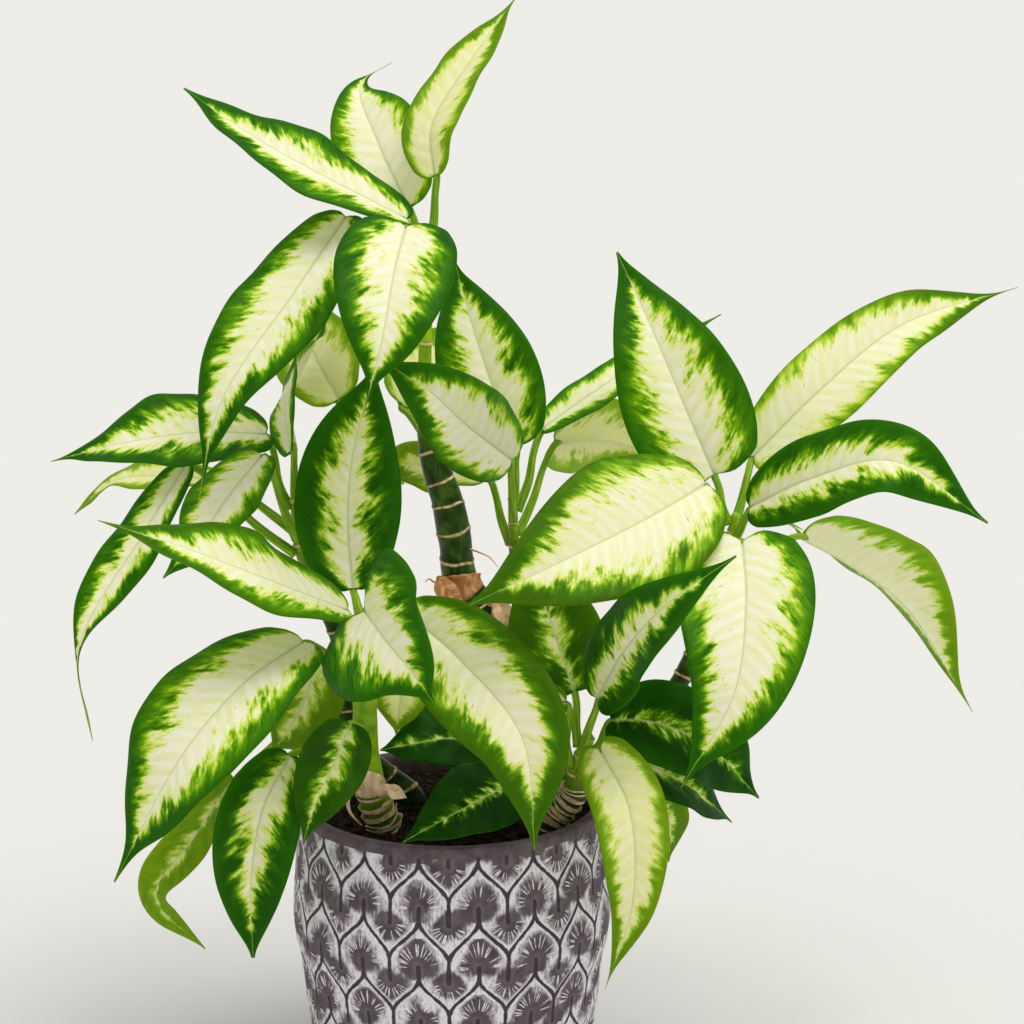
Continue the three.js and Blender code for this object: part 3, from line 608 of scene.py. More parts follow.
def bladeGrids(leaf, route, facing, seed, skin):
    look = bladeLook
    aside, count, width = look["columnsAside"], look["stations"], leaf["width"]
    columns = [math.copysign((abs(j) / aside) ** look["crowding"], j) for j in range(-aside, aside + 1)]
    fold, waving = leaf.get("fold", look["usualFold"]), leaf.get("wave", look["usualWave"])
    tops, bottoms = [], []
    for i in range(count + 1):
        t = look["evenly"] * i / count
        t += (1 - look["evenly"]) * (0.5 - 0.5 * math.cos(math.pi * i / count))
        ahead = route.ahead(t)
        normal = squareTo(ahead, facing)
        side = ahead.cross(normal)
        centre = route.at(t)
        half = max(width / 2 * outline(t, leaf), look["tipHalf"] * (1 - t) ** 0.5 + look["tipLeast"])
        lobe = leaf.get("heart", look["usualHeart"]) * route.length * math.exp(-t / look["lobeLength"])
        lobe *= min(1, (half / (look["lobeFrom"] * width)) ** 0.7)
        top, bottom = [], []
        for v in columns:
            edge, out = abs(v), half * abs(v)
            lag = look["edgeLag"] if v > 0 else 0
            wave = math.sin(t * look["edgeWaves"] + lag) * edge**2
            wave += look["fineShare"] * math.sin(t * look["fineWaves"] + seed * 5 + lag) * edge**3
            wave *= waving * math.sin(math.pi * t)
            groove = look["grooveDepth"] * (1 - look["grooveFade"] * t)
            groove *= math.exp(-((out / look["grooveWidth"]) ** 2))
            lift = half * (fold * edge - look["flare"] * edge**2) + wave - groove
            spot = centre + side * (half * v) + normal * lift - ahead * (lobe * edge**1.5)
            thick = (look["thickness"] - look["edgeThickness"]) * (1 - edge**3) * (1 - look["thinning"] * t)
            thick = look["edgeThickness"] + thick
            rib = (2 * look["stalkRadius"] - look["thickness"]) * (1 - t) ** 1.5
            rib *= math.exp(-((out / look["ribWidth"]) ** 2))
            vein = t * route.length - look["veinSlant"] * out - look["veinBend"] * out**2
            vein += look["otherSide"] if v < 0 else 0
            for row, depth, kind in ((top, 0, 1), (bottom, thick + rib, 0)):
                row.append(skin.add(spot - normal * depth, blade=(t, edge, kind),
                                    veins=(vein, math.copysign(out, v), seed + leaf.get("pale", 0))))
        tops.append(top)
        bottoms.append(bottom)
    return tops, bottoms


def stalkTube(leaf, cane, route, facing, seed, skin):  # from the cane into the rib
    look = bladeLook
    base, ahead = route.at(0), route.ahead(0)
    normal = squareTo(ahead, facing)
    share = shareAtHeight(cane, leaf["joins"])
    axis = cane["route"].ahead(share)
    outward = squareTo(axis, base - cane["route"].at(share))
    start = cane["route"].at(share) + outward * (caneRadius(cane, share) + look["fitGap"])
    end = base - normal * look["stalkRadius"] - ahead * look["stalkReach"]
    rise = (end - start).length
    stalk = Route([start, start.lerp(end, 0.3) + (axis + outward) * look["stalkBow"] * rise,
                   start.lerp(end, 0.7) + axis * look["stalkArch"] * rise, end, end + ahead * look["ribRun"]])
    rings, up = [], normal.copy()
    for i in range(look["stalkRings"], -1, -1):  # from the blade down to the cane
        s = i / look["stalkRings"]
        ahead = stalk.ahead(s)
        up = squareTo(ahead, up)
        side = ahead.cross(up)
        radius = (look["sheathRadius"] - look["stalkRadius"]) * max(0, 1 - s / look["sheathShare"])
        neck = max(0, (s - look["neckFrom"]) / (1 - look["neckFrom"]))
        radius = (look["stalkRadius"] + radius) * (1 - look["neckTaper"] * neck**2)
        ring = []
        for j in range(look["stalkSides"]):
            angle = j / look["stalkSides"] * 2 * math.pi
            fromTop = math.sin((angle - math.pi / 2) / 2) * look["channelNarrow"]
            reach = radius * (1 - look["channelDepth"] * math.exp(-(fromTop**2)))
            ring.append(skin.add(stalk.at(s) + (side * math.cos(angle) + up * math.sin(angle)) * reach,
                                 blade=(0, 0, -1),
                                 veins=(s * stalk.length, angle * radius, seed + leaf.get("pale", 0))))
        rings.append(ring)
    return tubeFaces(rings)


def leafShape(name, leaf, seed, material):
    route = Route([place(seen) for seen in leaf["seen"]])
    facing = Vector(leaf.get("facing", toViewer))
    cane = canes[leaf.get("cane", name.split("_")[1])]
    skin = Skin(veins=[], blade=[])
    faces = closedSheet(*bladeGrids(leaf, route, facing, seed, skin))
    faces += stalkTube(leaf, cane, route, facing, seed, skin)
    tone = (leaf.get("cream", bladeLook["usualCream"]), leaf.get("dark", 0), leaf.get("young", 0))
    return makePiece(name, skin.points, faces, material, {**skin.layers, "tone": [tone] * len(skin.points)})


leafSkin = leafMaterial()
for number, (node, leaf) in enumerate(leaves.items()):
    dress(leafShape(node.replace("leaf", "blade"), leaf, number + 1, leafSkin), "leaf", node)
print("leaves grown:", len(leaves))


def huskMaterial():
    material, tree, skin = newMaterial("drySheath", Roughness=0.8, Specular_IOR_Level=0.2)
    across, along, seed = split(attributeOf(tree, "veins"))
    fibre = mottle(joined(across * 0.3, along * 0.1, seed), 1.0, 3.0, 0.6)
    dry = ramp(fibre, (0.3, paint(134, 76, 30)), (0.5, paint(188, 122, 62)), (0.68, paint(226, 182, 122)))
    pale = ramp(fibre, (0.3, paint(216, 184, 142)), (0.5, paint(238, 212, 178)), (0.7, paint(248, 232, 208)))
    finishSkin(skin, blend(calc("FRACT", seed), dry, pale), None, fibre, 0.5)
    return material


# Papery rings round the canes: at is the height, turn is where the middle is, in degrees from the viewer's
# right, and arc how far round it goes. tall, flare and torn are in mm.
collars = {
    "funnel": dict(cane="main", at=292, tall=15, flare=1.6, turn=-98, arc=190, torn=1.6, pale=0.1),
    "lowerFunnel": dict(cane="main", at=268, tall=14, flare=1.2, turn=-30, arc=130, torn=2, pale=0.2),
    "cuff": dict(cane="front", at=188.5, tall=18, flare=0.5, turn=-140, arc=250, torn=1.5, pale=0.9),
    "frontRing1": dict(cane="front", at=185.5, tall=1.7, flare=0.8, turn=-90, arc=345, torn=0.4, pale=0.85),
    "frontRing2": dict(cane="front", at=179, tall=2.2, flare=1, turn=-60, arc=330, torn=0.7, pale=0.8),
    "frontRing3": dict(cane="front", at=173, tall=3.2, flare=1.2, turn=-110, arc=250, torn=1.4, pale=0.75),
    "frontRing4": dict(cane="front", at=166, tall=2.4, flare=1.3, turn=-80, arc=320, torn=0.8, pale=0.85),
    "smallRing1": dict(cane="small", at=187, tall=1.5, flare=0.8, turn=-100, arc=340, torn=0.4, pale=0.7),
    "smallRing2": dict(cane="small", at=182.5, tall=1.7, flare=0.9, turn=-70, arc=330, torn=0.5, pale=0.75),
    "smallRing3": dict(cane="small", at=178, tall=1.7, flare=0.9, turn=-110, arc=320, torn=0.5, pale=0.65),
    "smallRing4": dict(cane="small", at=173, tall=2, flare=1.1, turn=-80, arc=330, torn=0.6, pale=0.8),
    "smallRing5": dict(cane="small", at=167.5, tall=2.8, flare=1.4, turn=-100, arc=300, torn=1, pale=0.5),
}
collarLook = {"columns": 60, "rows": 8, "thickness": 0.5, "gap": 0.35, "lowEnds": 0.55, "tearScale": 2.6}


def collarShape(name, collar, seed, material):
    look, cane = collarLook, canes[collar["cane"]]
    outer, inner, skin = [], [], Skin(veins=[])
    for i in range(look["rows"] + 1):
        rise = i / look["rows"]
        fronts, backs = [], []
        for j in range(look["columns"] + 1):
            away = j / look["columns"] * 2 - 1
            angle = math.radians(collar["turn"] + collar["arc"] / 2 * away)
            circle = (math.cos(angle) * look["tearScale"], math.sin(angle) * look["tearScale"], seed * 7.3)
            tear = noise.noise(Vector(circle))
            tall = collar["tall"] * (1 - look["lowEnds"] * abs(away) ** 2.5) + collar["torn"] * tear
            share = shareAtHeight(cane, collar["at"] + max(tall, 0.8) * rise)
            axis = cane["route"].ahead(share)
            right = squareTo(axis, Vector((1, 0, 0)))
            reach = caneRadius(cane, share) + look["gap"] + collar["flare"] * rise**2 * (1 + 0.5 * tear)
            outwards = right * math.cos(angle) + axis.cross(right) * math.sin(angle)
            for row, more in ((fronts, look["thickness"] * (1 - 0.5 * rise)), (backs, 0)):
                row.append(skin.add(cane["route"].at(share) + outwards * (reach + more),
                                    veins=(angle * 9, rise * tall, seed + collar["pale"])))
        outer.append(fronts)
        inner.append(backs)
    return makePiece(name, skin.points, closedSheet(outer, inner), material, skin.layers)


shreds = {
    "twig": dict(seen=[(470, 549, 4), (478, 552, -2), (489, 557, -4), (498, 567, -4)], radius=1, pale=0.05),
    "flakeLeft": dict(seen=[(356, 786, -44), (348, 800, -48), (350, 812, -50), (362, 826, -46)],
                      radius=1.8, pale=0.7),
    "flakeRight": dict(seen=[(384, 806, -48), (390, 801, -50), (397, 797, -50), (403, 795, -48)],
                       radius=2, pale=0.6),
    "stubLeft": dict(seen=[(440, 583, -4), (434, 582, -6), (429, 579, -8), (425, 582, -8)],
                     radius=1.4, pale=0.1),
}
shredLook = {"rings": 24, "sides": 10, "finesse": 12, "taper": 0.75, "flatness": 0.6}


def shredShape(name, shred, seed, material):  # a thin dry strip that tapers to its end
    look = shredLook
    route = Route([place(seen) for seen in shred["seen"]], look["finesse"])
    rings, up, skin = [], Vector((0, 0, 1)), Skin(veins=[])
    for i in range(look["rings"] + 1):
        s = i / look["rings"]
        ahead = route.ahead(s)
        up = squareTo(ahead, up)
        side = ahead.cross(up)
        reach = shred["radius"] * (1 - s * look["taper"])
        ring = []
        for j in range(look["sides"]):
            angle = j / look["sides"] * 2 * math.pi
            spot = route.at(s) + side * math.cos(angle) * reach
            spot += up * math.sin(angle) * reach * look["flatness"]
            ring.append(skin.add(spot, veins=(angle, s * route.length, seed + shred["pale"])))
        rings.append(ring)
    return makePiece(name, skin.points, tubeFaces(rings), material, skin.layers)


drySheath = huskMaterial()
for number, (node, husk) in enumerate(husks.items()):
    sheath = leafShape(node.replace("husk", "sheath"), {**huskLook, **husk}, number + 60, drySheath)
    dress(sheath, "husk", node)
for number, (name, collar) in enumerate(collars.items()):
    dress(collarShape(name, collar, number + 1, drySheath), "husk")
for number, (name, shred) in enumerate(shreds.items()):
    dress(shredShape(name, shred, number + 20, drySheath), "husk")
print("sheaths made:", len(husks) + len(collars) + len(shreds))


def newTree(name, usual):  # a geometry tree and its inputs, with their usual values
    tree = bpy.data.node_groups.new(name, "GeometryNodeTree")
    sockets = tree.interface
    sockets.new_socket("Geometry", in_out="INPUT", socket_type="NodeSocketGeometry")
    for label, value in usual.items():
        kind = "NodeSocketInt" if isinstance(value, int) else "NodeSocketFloat"
        sockets.new_socket(label, in_out="INPUT", socket_type=kind).default_value = value
    sockets.new_socket("Material", in_out="INPUT", socket_type="NodeSocketMaterial")
    sockets.new_socket("Geometry", in_out="OUTPUT", socket_type="NodeSocketGeometry")
    start = tree.nodes.new("NodeGroupInput")
    return tree, {socket.name: Signal(socket) for socket in start.outputs if socket.name}


def finishTree(given, geometry, smooth):
    tree = geometry.tree
    geometry = grow(tree, "GeometryNodeRealizeInstances", geometry)
    if smooth:
        geometry = grow(tree, "GeometryNodeSetShadeSmooth", geometry)
    coated = grow(tree, "GeometryNodeSetMaterial", geometry, named={"Material": given["Material"]})
    wire(coated, tree.nodes.new("NodeGroupOutput").inputs["Geometry"])


def runTree(data, tree, name, material, **values):  # what the tree makes of the data, as a plain mesh
    host = putInScene(name + "Host", data)
    modifier = host.modifiers.new(tree.name, "NODES")
    modifier.node_group = tree
    values["Material"] = material
    for item in tree.interface.items_tree:
        if item.in_out == "INPUT" and item.name in values:
            modifier[item.identifier] = values[item.name]
    mesh = bpy.data.meshes.new_from_object(host.evaluated_get(bpy.context.evaluated_depsgraph_get()))
    host.modifiers.remove(modifier)
    bpy.data.objects.remove(host)
    mesh.name = name
    if not mesh.materials:
        mesh.materials.append(material)
    return putInScene(name, mesh)


def stored(geometry, name, value):
    return grow(geometry.tree, "GeometryNodeStoreNamedAttribute", data_type="FLOAT", domain="POINT",
                named={"Geometry": geometry, "Name": name, "Value": value})


def recalled(tree, name, kind="FLOAT"):
    return grow(tree, "GeometryNodeInputNamedAttribute", data_type=kind, named={"Name": name})


def chance(low, high, seed, kind="FLOAT"):
    first, out = (0, 0) if kind == "FLOAT_VECTOR" else (2, 1)
    drawn = grow(seed.tree, "FunctionNodeRandomValue", out=out, data_type=kind, named={"Seed": seed})
    for value, index in ((low, first), (high, first + 1)):
        wire(value, drawn.socket.node.inputs[index])
    return drawn


def pushed(geometry, direction, distance):
    offset = vectorCalc("SCALE", direction, named={"Scale": distance})
    return grow(geometry.tree, "GeometryNodeSetPosition", named={"Geometry": geometry, "Offset": offset})


def spread(shape, points, rotation, scale):  # the shape on every point of a mesh
    cloud = grow(points.tree, "GeometryNodeMeshToPoints", points)
    return grow(points.tree, "GeometryNodeInstanceOnPoints",
                named={"Points": cloud, "Instance": shape, "Rotation": rotation, "Scale": scale})


def ringedCaneTree():  # a tube along a curve, with a fine ridge on every leaf scar
    tree, given = newTree("ringedCane", {
        "Ring step": 0.014, "Foot step": 0.014, "Foot end": 0.0, "Upper rings": 1.0, "Band width": 0.0022,
        "Band rise": 0.0007, "Slant": 0.011, "Unevenness": 0.0003, "Sides": 40, "Seed": 0.0})
    path = stored(given["Geometry"], "walked", grow(tree, "GeometryNodeSplineParameter", out=1))
    circle = grow(tree, "GeometryNodeCurvePrimitiveCircle", given["Sides"], named={"Radius": 1.0})
    tube = grow(tree, "GeometryNodeCurveToMesh", named={
        "Curve": path, "Profile Curve": circle, "Scale": grow(tree, "GeometryNodeInputRadius"),
        "Fill Caps": True})
    spot = vectorCalc("ADD", grow(tree, "GeometryNodeInputPosition"), joined(*[given["Seed"]] * 3))
    sway, grain = mottle(spot, 45.0, 1.0), mottle(spot, 260.0)
    beyond = recalled(tree, "walked") - given["Foot end"]
    upper = calc("GREATER_THAN", recalled(tree, "walked"), given["Foot end"])
    step = blend(upper, given["Foot step"], given["Ring step"], "FLOAT")
    turn = (beyond + (sway - 0.5) * given["Slant"]) / step
    near = calc("PINGPONG", turn, 0.5) * step / given["Band width"]
    band = span(near, 0.0, 1.0, 1.0, 0.0) * blend(upper, 1.0, given["Upper rings"], "FLOAT")
    lift = band * given["Band rise"] + (grain - 0.5) * given["Unevenness"]
    moved = pushed(tube, grow(tree, "GeometryNodeInputNormal"), lift)
    finishTree(given, stored(moved, "scar", band), True)
    return tree


def barkMaterial():
    material, tree, skin = newMaterial("caneBark", Specular_IOR_Level=0.22, Subsurface_Weight=0.04)
    spot = objectSpot(tree)
    scar, young = attributeOf(tree, "scar", 2), attributeOf(tree, "young", 2)
    mottled = mottle(spot, 120.0, 3.0)
    stripes = mottle(vectorCalc("MULTIPLY", spot, (900.0, 900.0, 60.0)), 1.0)
    old = ramp(mottled, (0.3, paint(14, 36, 2)), (0.52, paint(34, 68, 4)), (0.74, paint(76, 112, 16)))
    fresh = ramp(mottled, (0.3, paint(106, 156, 4)), (0.7, paint(160, 202, 24)))
    colour = blend(span(stripes, 0.5, 0.75) * 0.22, blend(young, old, fresh), paint(120, 124, 62))
    worn = span(mottle(spot, 380.0), 0.35, 0.6, 0.4, 1.0)
    colour = blend(span(scar, 0.35, 0.85) * worn, colour, paint(230, 204, 162))
    colour = blend(within(scar, (0.05, 0.25), (0.55, 0.3)) * 0.5, colour, paint(60, 46, 20))
    finishSkin(skin, colour, span(scar, 0.2, 0.8, 0.34, 0.8), stripes, 0.35, 0.0003)
    return material


def caneShape(name, cane, seed, material, tree):
    look, route = caneLook, cane["route"]
    steps = int(route.length / look["step"])
    curve = bpy.data.curves.new(name, "CURVE")
    curve.dimensions = "3D"
    spline = curve.splines.new("POLY")
    spline.points.add(steps)
    for i, point in enumerate(spline.points):
        share = i / steps
        spot = route.at(share)
        fit = look["buriedFit"] if spot.z < look["soilTop"] else look["fit"]
        left = (1 - share) * route.length / look["tip"]
        fit *= math.sqrt(max(1 - max(1 - left, 0) ** 2, 0.01))
        point.co = (*(spot * mm), 1)
        point.radius = caneRadius(cane, share) * fit * mm
    footEnd = shareAtHeight(cane, look["soilTop"] + cane.get("footHeight", 0)) * route.length
    piece = runTree(curve, tree, name, material, **{
        "Ring step": cane["ringStep"] * mm, "Foot step": cane.get("footStep", cane["ringStep"]) * mm,
        "Foot end": footEnd * mm, "Upper rings": cane.get("upperRings", 1.0), "Slant": look["slant"] * mm,
        "Band width": look["bandWidth"] * mm, "Band rise": look["bandRise"] * mm,
        "Unevenness": look["roughness"] * mm, "Sides": look["sides"], "Seed": seed * 3.7})
    ease = look["freshening"]
    store(piece.data, "young", [min(max((vertex.co.z / mm - cane["freshFrom"] + ease) / (2 * ease), 0.0), 1.0)
                                for vertex in piece.data.vertices])
    return piece


caneBark, caneTree = barkMaterial(), ringedCaneTree()
for number, (node, cane) in enumerate(canes.items()):
    dress(caneShape("stem_" + node, cane, number + 1, caneBark, caneTree), "cane", "cane_" + node)
print("canes made:", len(canes))


potLook = {
    "height": 173, "baseRadius": 76, "wall": 6, "floor": 9, "footEdge": 3, "footRounding": 0.9,  # mm
    "profile": [(76, 0), (83, 36), (87.6, 74), (92.2, 102), (91, 127), (88.5, 173)],
    "rimRadius": 88.5, "rimHeight": 6.5, "rimStand": 1.0, "rimRounding": 0.9, "halvings": 18,
    "cells": 17, "cellHeight": 34, "firstJoint": 6, "latticeTop": 165.5,  # the lattice round the wall
    "relief": 0.8, "dome": 1.4, "sunk": 0.9, "grooveWidth": 1.9, "fade": 3,
    "columnsPerCell": 22, "rowStep": 1.55,
    "neckFrom": 0.64, "neckTo": 0.88, "stemFrom": 0.6, "stemReach": 0.15, "curl": 0.8,  # of a cell's height
    "slope": 0.8, "elsewhere": 50.0,  # of the slanting grooves, and mm beyond any groove
}


def wallRadius(height):  # a smooth curve through the profile
    stops = potLook["profile"]
    k = max(i for i in range(len(stops) - 1) if stops[i][1] <= max(height, 0) or i == 0)
    spots = [stops[max(k - 1, 0)], stops[k], stops[k + 1], stops[min(k + 2, len(stops) - 1)]]
    low, high = 0.0, 1.0

    def run(s, axis):
        a, b, c, d = (spot[axis] for spot in spots)
        bend, twist = 2 * a - 5 * b + 4 * c - d, 3 * b - a - 3 * c + d
        return 0.5 * (2 * b + (c - a) * s + bend * s**2 + twist * s**3)

    for _ in range(potLook["halvings"]):
        middle = (low + high) / 2
        low, high = (middle, high) if run(middle, 1) < height else (low, middle)
    return run(low, 0)


def fromGroove(turn, rise):  # mm from the nearest groove of the lattice, turn and rise in cells
    look = potLook
    size = look["cellHeight"]
    across = abs((turn + 0.5) % 1 - 0.5) * size
    part = rise % 1
    s = min(part / look["neckFrom"], 1)
    bend = (1 - look["curl"]) * s + look["curl"] * s * s * (3 - 2 * s)
    near = abs(across - size / 2 * bend) * look["slope"] if part < look["neckFrom"] else look["elsewhere"]
    if part >= look["neckFrom"]:
        below = max(0, part - look["neckTo"]) * size
        near = min(near, math.hypot(size / 2 - across, below))
    if part > look["stemFrom"] - look["stemReach"]:
        near = min(near, math.hypot(across, max(0, look["stemFrom"] - part) * size))
    return near


def potMaterial():
    look = potLook
    size = look["cellHeight"]
    material, tree, skin = newMaterial("washedClay", Specular_IOR_Level=0.3)
    washed, spot = attributeOf(tree, "washed", 2), objectSpot(tree)

    def hypot(a, b):
        return calc("SQRT", a * a + b * b)

    def beyond(value):
        return calc("MAXIMUM", value, 0.0) * size

    def above(share):  # mm above a share of the cell, below 0 under it
        return (calc("FRACT", part + (1.5 - share)) - 0.5) * size

    def stretched(value, up, down):
        return calc("MAXIMUM", value * up, value * -down)

    x, y, z = split(spot)
    turn = calc("ARCTAN2", x, y * -1.0) * (look["cells"] / 2 / math.pi)
    across = calc("PINGPONG", turn, 0.5) * size
    part = calc("FRACT", (z - look["firstJoint"] * mm) / (size * mm))
    s = calc("MINIMUM", part / look["neckFrom"], 1.0)
    bend = blend(look["curl"], s, span(s, 0.0, 1.0), "FLOAT")
    ogee = abs(across - bend * (size / 2)) * look["slope"]
    ogee = ogee + calc("GREATER_THAN", part, look["neckFrom"]) * look["elsewhere"]
    neck = hypot(size / 2 - across, beyond(part - look["neckTo"]))
    neck = neck + calc("LESS_THAN", part, look["neckFrom"]) * look["elsewhere"]
    stem = hypot(across, beyond(look["stemFrom"] - part))
    joint = calc("MINIMUM", neck, stem)

    near = calc("MINIMUM", joint, ogee) + (mottle(spot, 260.0, 3.0) - 0.5) * 1.5
    groove = span(near, 0.75, 1.25, 1.0, 0.0)
    beside = within(near, (0.9, 1.4), (4.2, 1.9))
    slanted = span(ogee - joint, 3.0, -1.0)
    patches = mottle(spot, 46.0, 3.0, 0.6)
    brush = mottle(vectorCalc("MULTIPLY", spot, (620.0, 620.0, 150.0)), 1.0, 3.0, 0.6)
    specks = mottle(spot, 700.0, 2.0, 0.6)
    cloudy = (patches - 0.5) * 27.0 + (brush - 0.5) * 8.0
    upReach = hypot(size / 2 - across, stretched(above(look["neckTo"]), 0.72, 1.3))
    downReach = hypot(across, stretched(above(look["stemFrom"]), 1.3, 0.8))
    heart = calc("MAXIMUM", span(upReach + cloudy, 15.5, 8.5), span(downReach + cloudy, 13.0, 6.5))
    inHeart = 1.0 - heart * (1.0 - slanted)

    wash = (1.0 - heart) * span(brush, 0.26, 0.5, 0.45, 0.95)
    edges = beside * span(brush, 0.28, 0.5, 0.6, 1.0) * span(inHeart, 0.0, 1.0, 0.05, 1.0)
    wash = calc("MAXIMUM", wash, edges * span(patches, 0.25, 0.5, 0.6, 1.0))
    wash = wash * (1.0 - groove) * span(specks, 0.25, 0.45, 0.6, 1.0) * washed
    clay = ramp(mottle(spot, 150.0, 3.0), (0.3, paint(72, 61, 66)), (0.7, paint(104, 90, 95)))
    clay = blend(groove * washed * 0.7, clay, paint(50, 41, 45))
    height = (groove * -1.0 + beside * inHeart * 0.45) * washed + (brush * 0.3 + specks * 0.25)
    colour = blend(wash, clay, paint(240, 237, 243))
    finishSkin(skin, colour, span(wash, 0.0, 1.0, 0.62, 0.9), height, 1.0, 0.0008)
    return material


def fanTree():  # a stroke on every point, turned and stretched by the point's attributes
    tree, given = newTree("fanStrokes", {"Radius": 0.0005, "Unevenness": 0.3, "Seed": 3})
    bead = grow(tree, "GeometryNodeMeshUVSphere", 6, 5, 1.0)
    drawn = chance(1.0 - given["Unevenness"], 1.0 + given["Unevenness"], given["Seed"])
    thick = given["Radius"] * drawn
    long = split(recalled(tree, "stroke", "FLOAT_VECTOR"))[0]
    strokes = spread(bead, given["Geometry"], recalled(tree, "turned", "FLOAT_VECTOR"),
                     joined(thick, long, thick * 0.8))
    finishTree(given, strokes, True)
    return tree


fanLook = {  # spread in degrees, part and turn in cells, from, length and the heights in mm
    "up": {"strokes": 15, "spread": 92, "part": 0.88, "turn": 0.5, "from": 5.2, "length": 10.4},
    "down": {"strokes": 12, "spread": 80, "part": 0.6, "turn": 0.0, "from": 3.8, "length": 9.2},
    "radius": 0.45, "unevenness": 0.45, "stand": 0.3, "missing": 0.12, "swing": 0.3,
    "shortest": 0.3, "varied": 0.24, "sideways": 0.2, "ragged": 1.5, "lowest": 9, "highest": 162.5,
}


def fanPoints():  # each stroke's middle laid out flat, its turn and half length, all in mm
    look, size = fanLook, potLook["cellHeight"]
    rows = int((potLook["latticeTop"] - potLook["firstJoint"]) / size) + 1
    for row in range(-1, rows):
        for column in range(potLook["cells"]):
            for kind, way in (("up", 1), ("down", -1)):
                fan = look[kind]
                for i in range(fan["strokes"]):
                    angle = math.radians(fan["spread"] * (2 * i / (fan["strokes"] - 1) - 1))
                    angle += look["swing"] * (noise.random() - 0.5)
                    luck = noise.random()
                    if luck < look["missing"]:
                        continue
                    half = fan["length"] * (look["shortest"] + look["varied"] * luck)
                    half *= 1 - look["sideways"] * abs(math.sin(angle))
                    reach = fan["from"] + half + look["ragged"] * (1 - luck)
                    x = (column + fan["turn"]) * size + math.sin(angle) * reach
                    z = potLook["firstJoint"] + (row + fan["part"]) * size + way * math.cos(angle) * reach
                    if look["lowest"] < z < look["highest"]:
                        yield (x, z), -angle * way, half


def strokesShape(material):
    look = fanLook
    noise.seed_set(7)
    laid = list(fanPoints())
    seeds = bpy.data.meshes.new("fanSeeds")
    seeds.from_pydata([(x * mm, z * mm, 0) for (x, z), _, _ in laid], [], [])
    store(seeds, "turned", [(0, 0, turn) for _, turn, _ in laid])
    store(seeds, "stroke", [(half * mm, 0, 0) for _, _, half in laid])
    piece = runTree(seeds, fanTree(), "potStrokes", material,
                    Radius=look["radius"] * mm, Unevenness=look["unevenness"], Seed=3)
    around = potLook["cells"] * potLook["cellHeight"]
    for vertex in piece.data.vertices:  # bent round the wall
        x, z, out = vertex.co / mm
        angle = x / around * 2 * math.pi - math.pi / 2
        reach = wallRadius(z) + look["stand"] + out
        vertex.co = Vector((math.cos(angle) * reach, math.sin(angle) * reach, z)) * mm
    return piece


def strokeMaterial():
    material, tree, skin = newMaterial("strokeWash", Roughness=0.9, Specular_IOR_Level=0.2)
    finishSkin(skin, ramp(mottle(objectSpot(tree), 190.0, 3.0, 0.6), (0.34, paint(128, 116, 121)),
                          (0.48, paint(204, 198, 204)), (0.6, paint(238, 235, 241))))
    return material


def potRows():  # radius, height and whether the lattice is there, from the foot to the floor inside
    look = potLook
    top, foot, patterned = look["height"], look["footEdge"], look["height"] - look["rimHeight"]
    rim, inside = look["rimRadius"] + look["rimStand"], wallRadius(top) - look["wall"]
    rows = [(0, 0, 0), (look["baseRadius"] - foot, 0, 0),
            (look["baseRadius"] - look["footRounding"], look["footRounding"], 0)]
    count = int((patterned - foot) / look["rowStep"])
    for i in range(count + 1):
        height = foot + (patterned - foot) * i / count
        rows.append((wallRadius(height), height, 1))
    rows += [(rim - 0.4, patterned + 0.5, 0), (rim, patterned + 1.4, 0), (rim, top - 1.8, 0),
             (rim - 0.3, top - look["rimRounding"], 0), (rim - 1.0, top - 0.2, 0), (rim - 1.9, top, 0),
             (inside + 1.6, top, 0), (inside + 0.5, top - 0.7, 0), (inside, top - 2, 0)]
    for height in (164, 152, 140, 120, 100, 80, 60, 40, 20, look["floor"]):
        rows.append((wallRadius(height) - look["wall"], height, 0))
    return rows + [(0, look["floor"], 0)], patterned


def potShape(material):
    look = potLook
    around = look["cells"] * look["columnsPerCell"]
    rows, patterned = potRows()
    points, washes, faces = [], [], []
    for radius, height, washed in rows:
        for c in range(around if radius else 1):
            turn = c / look["columnsPerCell"]
            angle = turn / look["cells"] * 2 * math.pi - math.pi / 2
            reach = radius
            if washed:
                fade = min(1, (height - look["footEdge"]) / look["fade"], (patterned - height) / look["fade"])
                groove = fromGroove(turn, (height - look["firstJoint"]) / look["cellHeight"])
                dome = 1 - math.exp(-((groove / look["grooveWidth"]) ** 2))
                reach += look["relief"] * (look["dome"] * dome - look["sunk"]) * fade
            points.append(Vector((math.cos(angle) * reach, math.sin(angle) * reach, height)) * mm)
            washes.append(washed)
    last = len(points) - 1
    pairs = [(c, (c + 1) % around) for c in range(around)]
    for start in range(1, last - around, around):
        faces += [(start + c, start + d, start + around + d, start + around + c) for c, d in pairs]
    for c, d in pairs:
        faces += [(0, 1 + d, 1 + c), (last, last - around + c, last - around + d)]
    return makePiece("pottedClay", points, faces, material, {"washed": washes})


dress(potShape(potMaterial()), "pot", "pot")
dress(strokesShape(strokeMaterial()), "pot")
print("pot turned")


def soilMaterial():
    material, tree, skin = newMaterial("pottingSoil", Roughness=0.95, Specular_IOR_Level=0.15)
    spot = objectSpot(tree)
    colour = ramp(mottle(spot, 240.0, 4.0, 0.65), (0.3, paint(14, 9, 6)), (0.55, paint(34, 23, 15)),
                  (0.78, paint(84, 62, 42)))
    finishSkin(skin, colour, None, mottle(spot, 520.0, 3.0), 1.0, 0.001)
    return material


peat = soilMaterial()
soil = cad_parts["soil"]
soil.data.materials.clear()
soil.data.materials.append(peat)


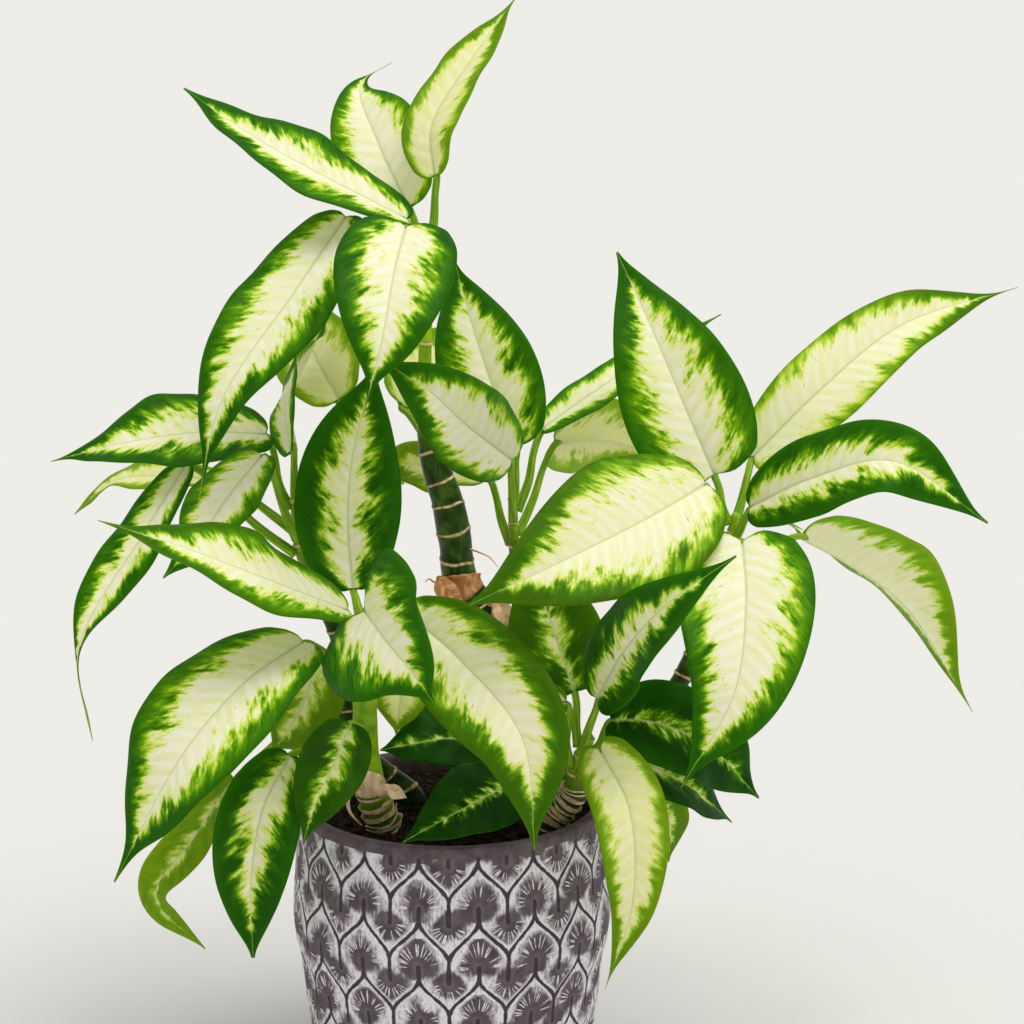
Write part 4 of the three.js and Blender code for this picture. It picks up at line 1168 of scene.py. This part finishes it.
def crumbTree():  # a lump of soil on every point
    tree, given = newTree("soilCrumbs", {
        "Smallest": 0.0006, "Largest": 0.0026, "Roughness": 0.0009, "Seed": 5})
    lump = grow(tree, "GeometryNodeMeshIcoSphere", 1.0, 1)
    turned = chance((0, 0, 0), (6.3, 6.3, 6.3), given["Seed"] + 1.0, "FLOAT_VECTOR")
    share = chance(0.0, 1.0, given["Seed"] + 2.0) ** 2.5
    size = span(share, 0.0, 1.0, given["Smallest"], given["Largest"], "LINEAR")
    lumps = grow(tree, "GeometryNodeRealizeInstances", spread(lump, given["Geometry"], turned, size))
    grain = grow(tree, "ShaderNodeTexNoise", out=1, named={"Scale": 700.0})
    rough = vectorCalc("SUBTRACT", grain, (0.5, 0.5, 0.5))
    finishTree(given, pushed(lumps, rough, given["Roughness"] * 2.0), False)
    return tree


crumbLook = {  # all but the count in mm
    "count": 2600, "radius": 79, "smallest": 0.5, "largest": 2.6, "roughness": 0.7, "from": 300,
}
noise.seed_set(11)
spots = []
while len(spots) < crumbLook["count"]:
    x, y = ((noise.random() * 2 - 1) * crumbLook["radius"] for _ in range(2))
    hit, spot, _, _ = soil.ray_cast((x * mm, y * mm, crumbLook["from"] * mm), (0, 0, -1))
    if hit and math.hypot(x, y) < crumbLook["radius"]:
        spots.append(tuple(spot))
crumbSeeds = bpy.data.meshes.new("crumbSeeds")
crumbSeeds.from_pydata(spots, [], [])
dress(runTree(crumbSeeds, crumbTree(), "soilCrumbs", peat, Smallest=crumbLook["smallest"] * mm,
              Largest=crumbLook["largest"] * mm, Roughness=crumbLook["roughness"] * mm, Seed=5), "soil")
print("soil finished")


stageLook = {
    "floorSize": 60,                              # m
    "floorTone": paint(219, 218, 215), "skyTone": paint(244, 244, 243), "skyStrength": 0.72,
    "keyStrength": 1.9, "keySoftness": 40, "keyFrom": (0.42, -0.34, 1.5), "keyColour": (1, 0.985, 0.95),
    "sensor": 36,                                 # mm
}
bpy.ops.mesh.primitive_plane_add(size=stageLook["floorSize"])
floor = bpy.context.object
floor.name = "floor"
paleFloor, _, floorSkin = newMaterial("paleFloor", Roughness=0.9, Specular_IOR_Level=0.2)
finishSkin(floorSkin, stageLook["floorTone"])
floor.data.materials.append(paleFloor)

world = bpy.data.worlds.new("softStudio")
world.use_nodes = True
sky = world.node_tree.nodes["Background"].inputs
sky[0].default_value, sky[1].default_value = stageLook["skyTone"], stageLook["skyStrength"]
bpy.context.scene.world = world

lamp = bpy.data.lights.new("keyLamp", "SUN")
lamp.energy, lamp.color = stageLook["keyStrength"], stageLook["keyColour"]
lamp.angle = math.radians(stageLook["keySoftness"])
key = putInScene("keyLamp", lamp)
key.rotation_euler = Vector(stageLook["keyFrom"]).to_track_quat("Z", "Y").to_euler()

camera = putInScene("camera", bpy.data.cameras.new("camera"))
camera.location = viewEye * mm
camera.rotation_euler = (math.pi / 2 - view["pitch"], 0, 0)
camera.data.sensor_width = stageLook["sensor"]
camera.data.lens = view["focal"] / (2 * view["centre"]) * stageLook["sensor"]
bpy.context.scene.camera = camera
bpy.context.scene.view_settings.view_transform = "Standard"
print("stage set")
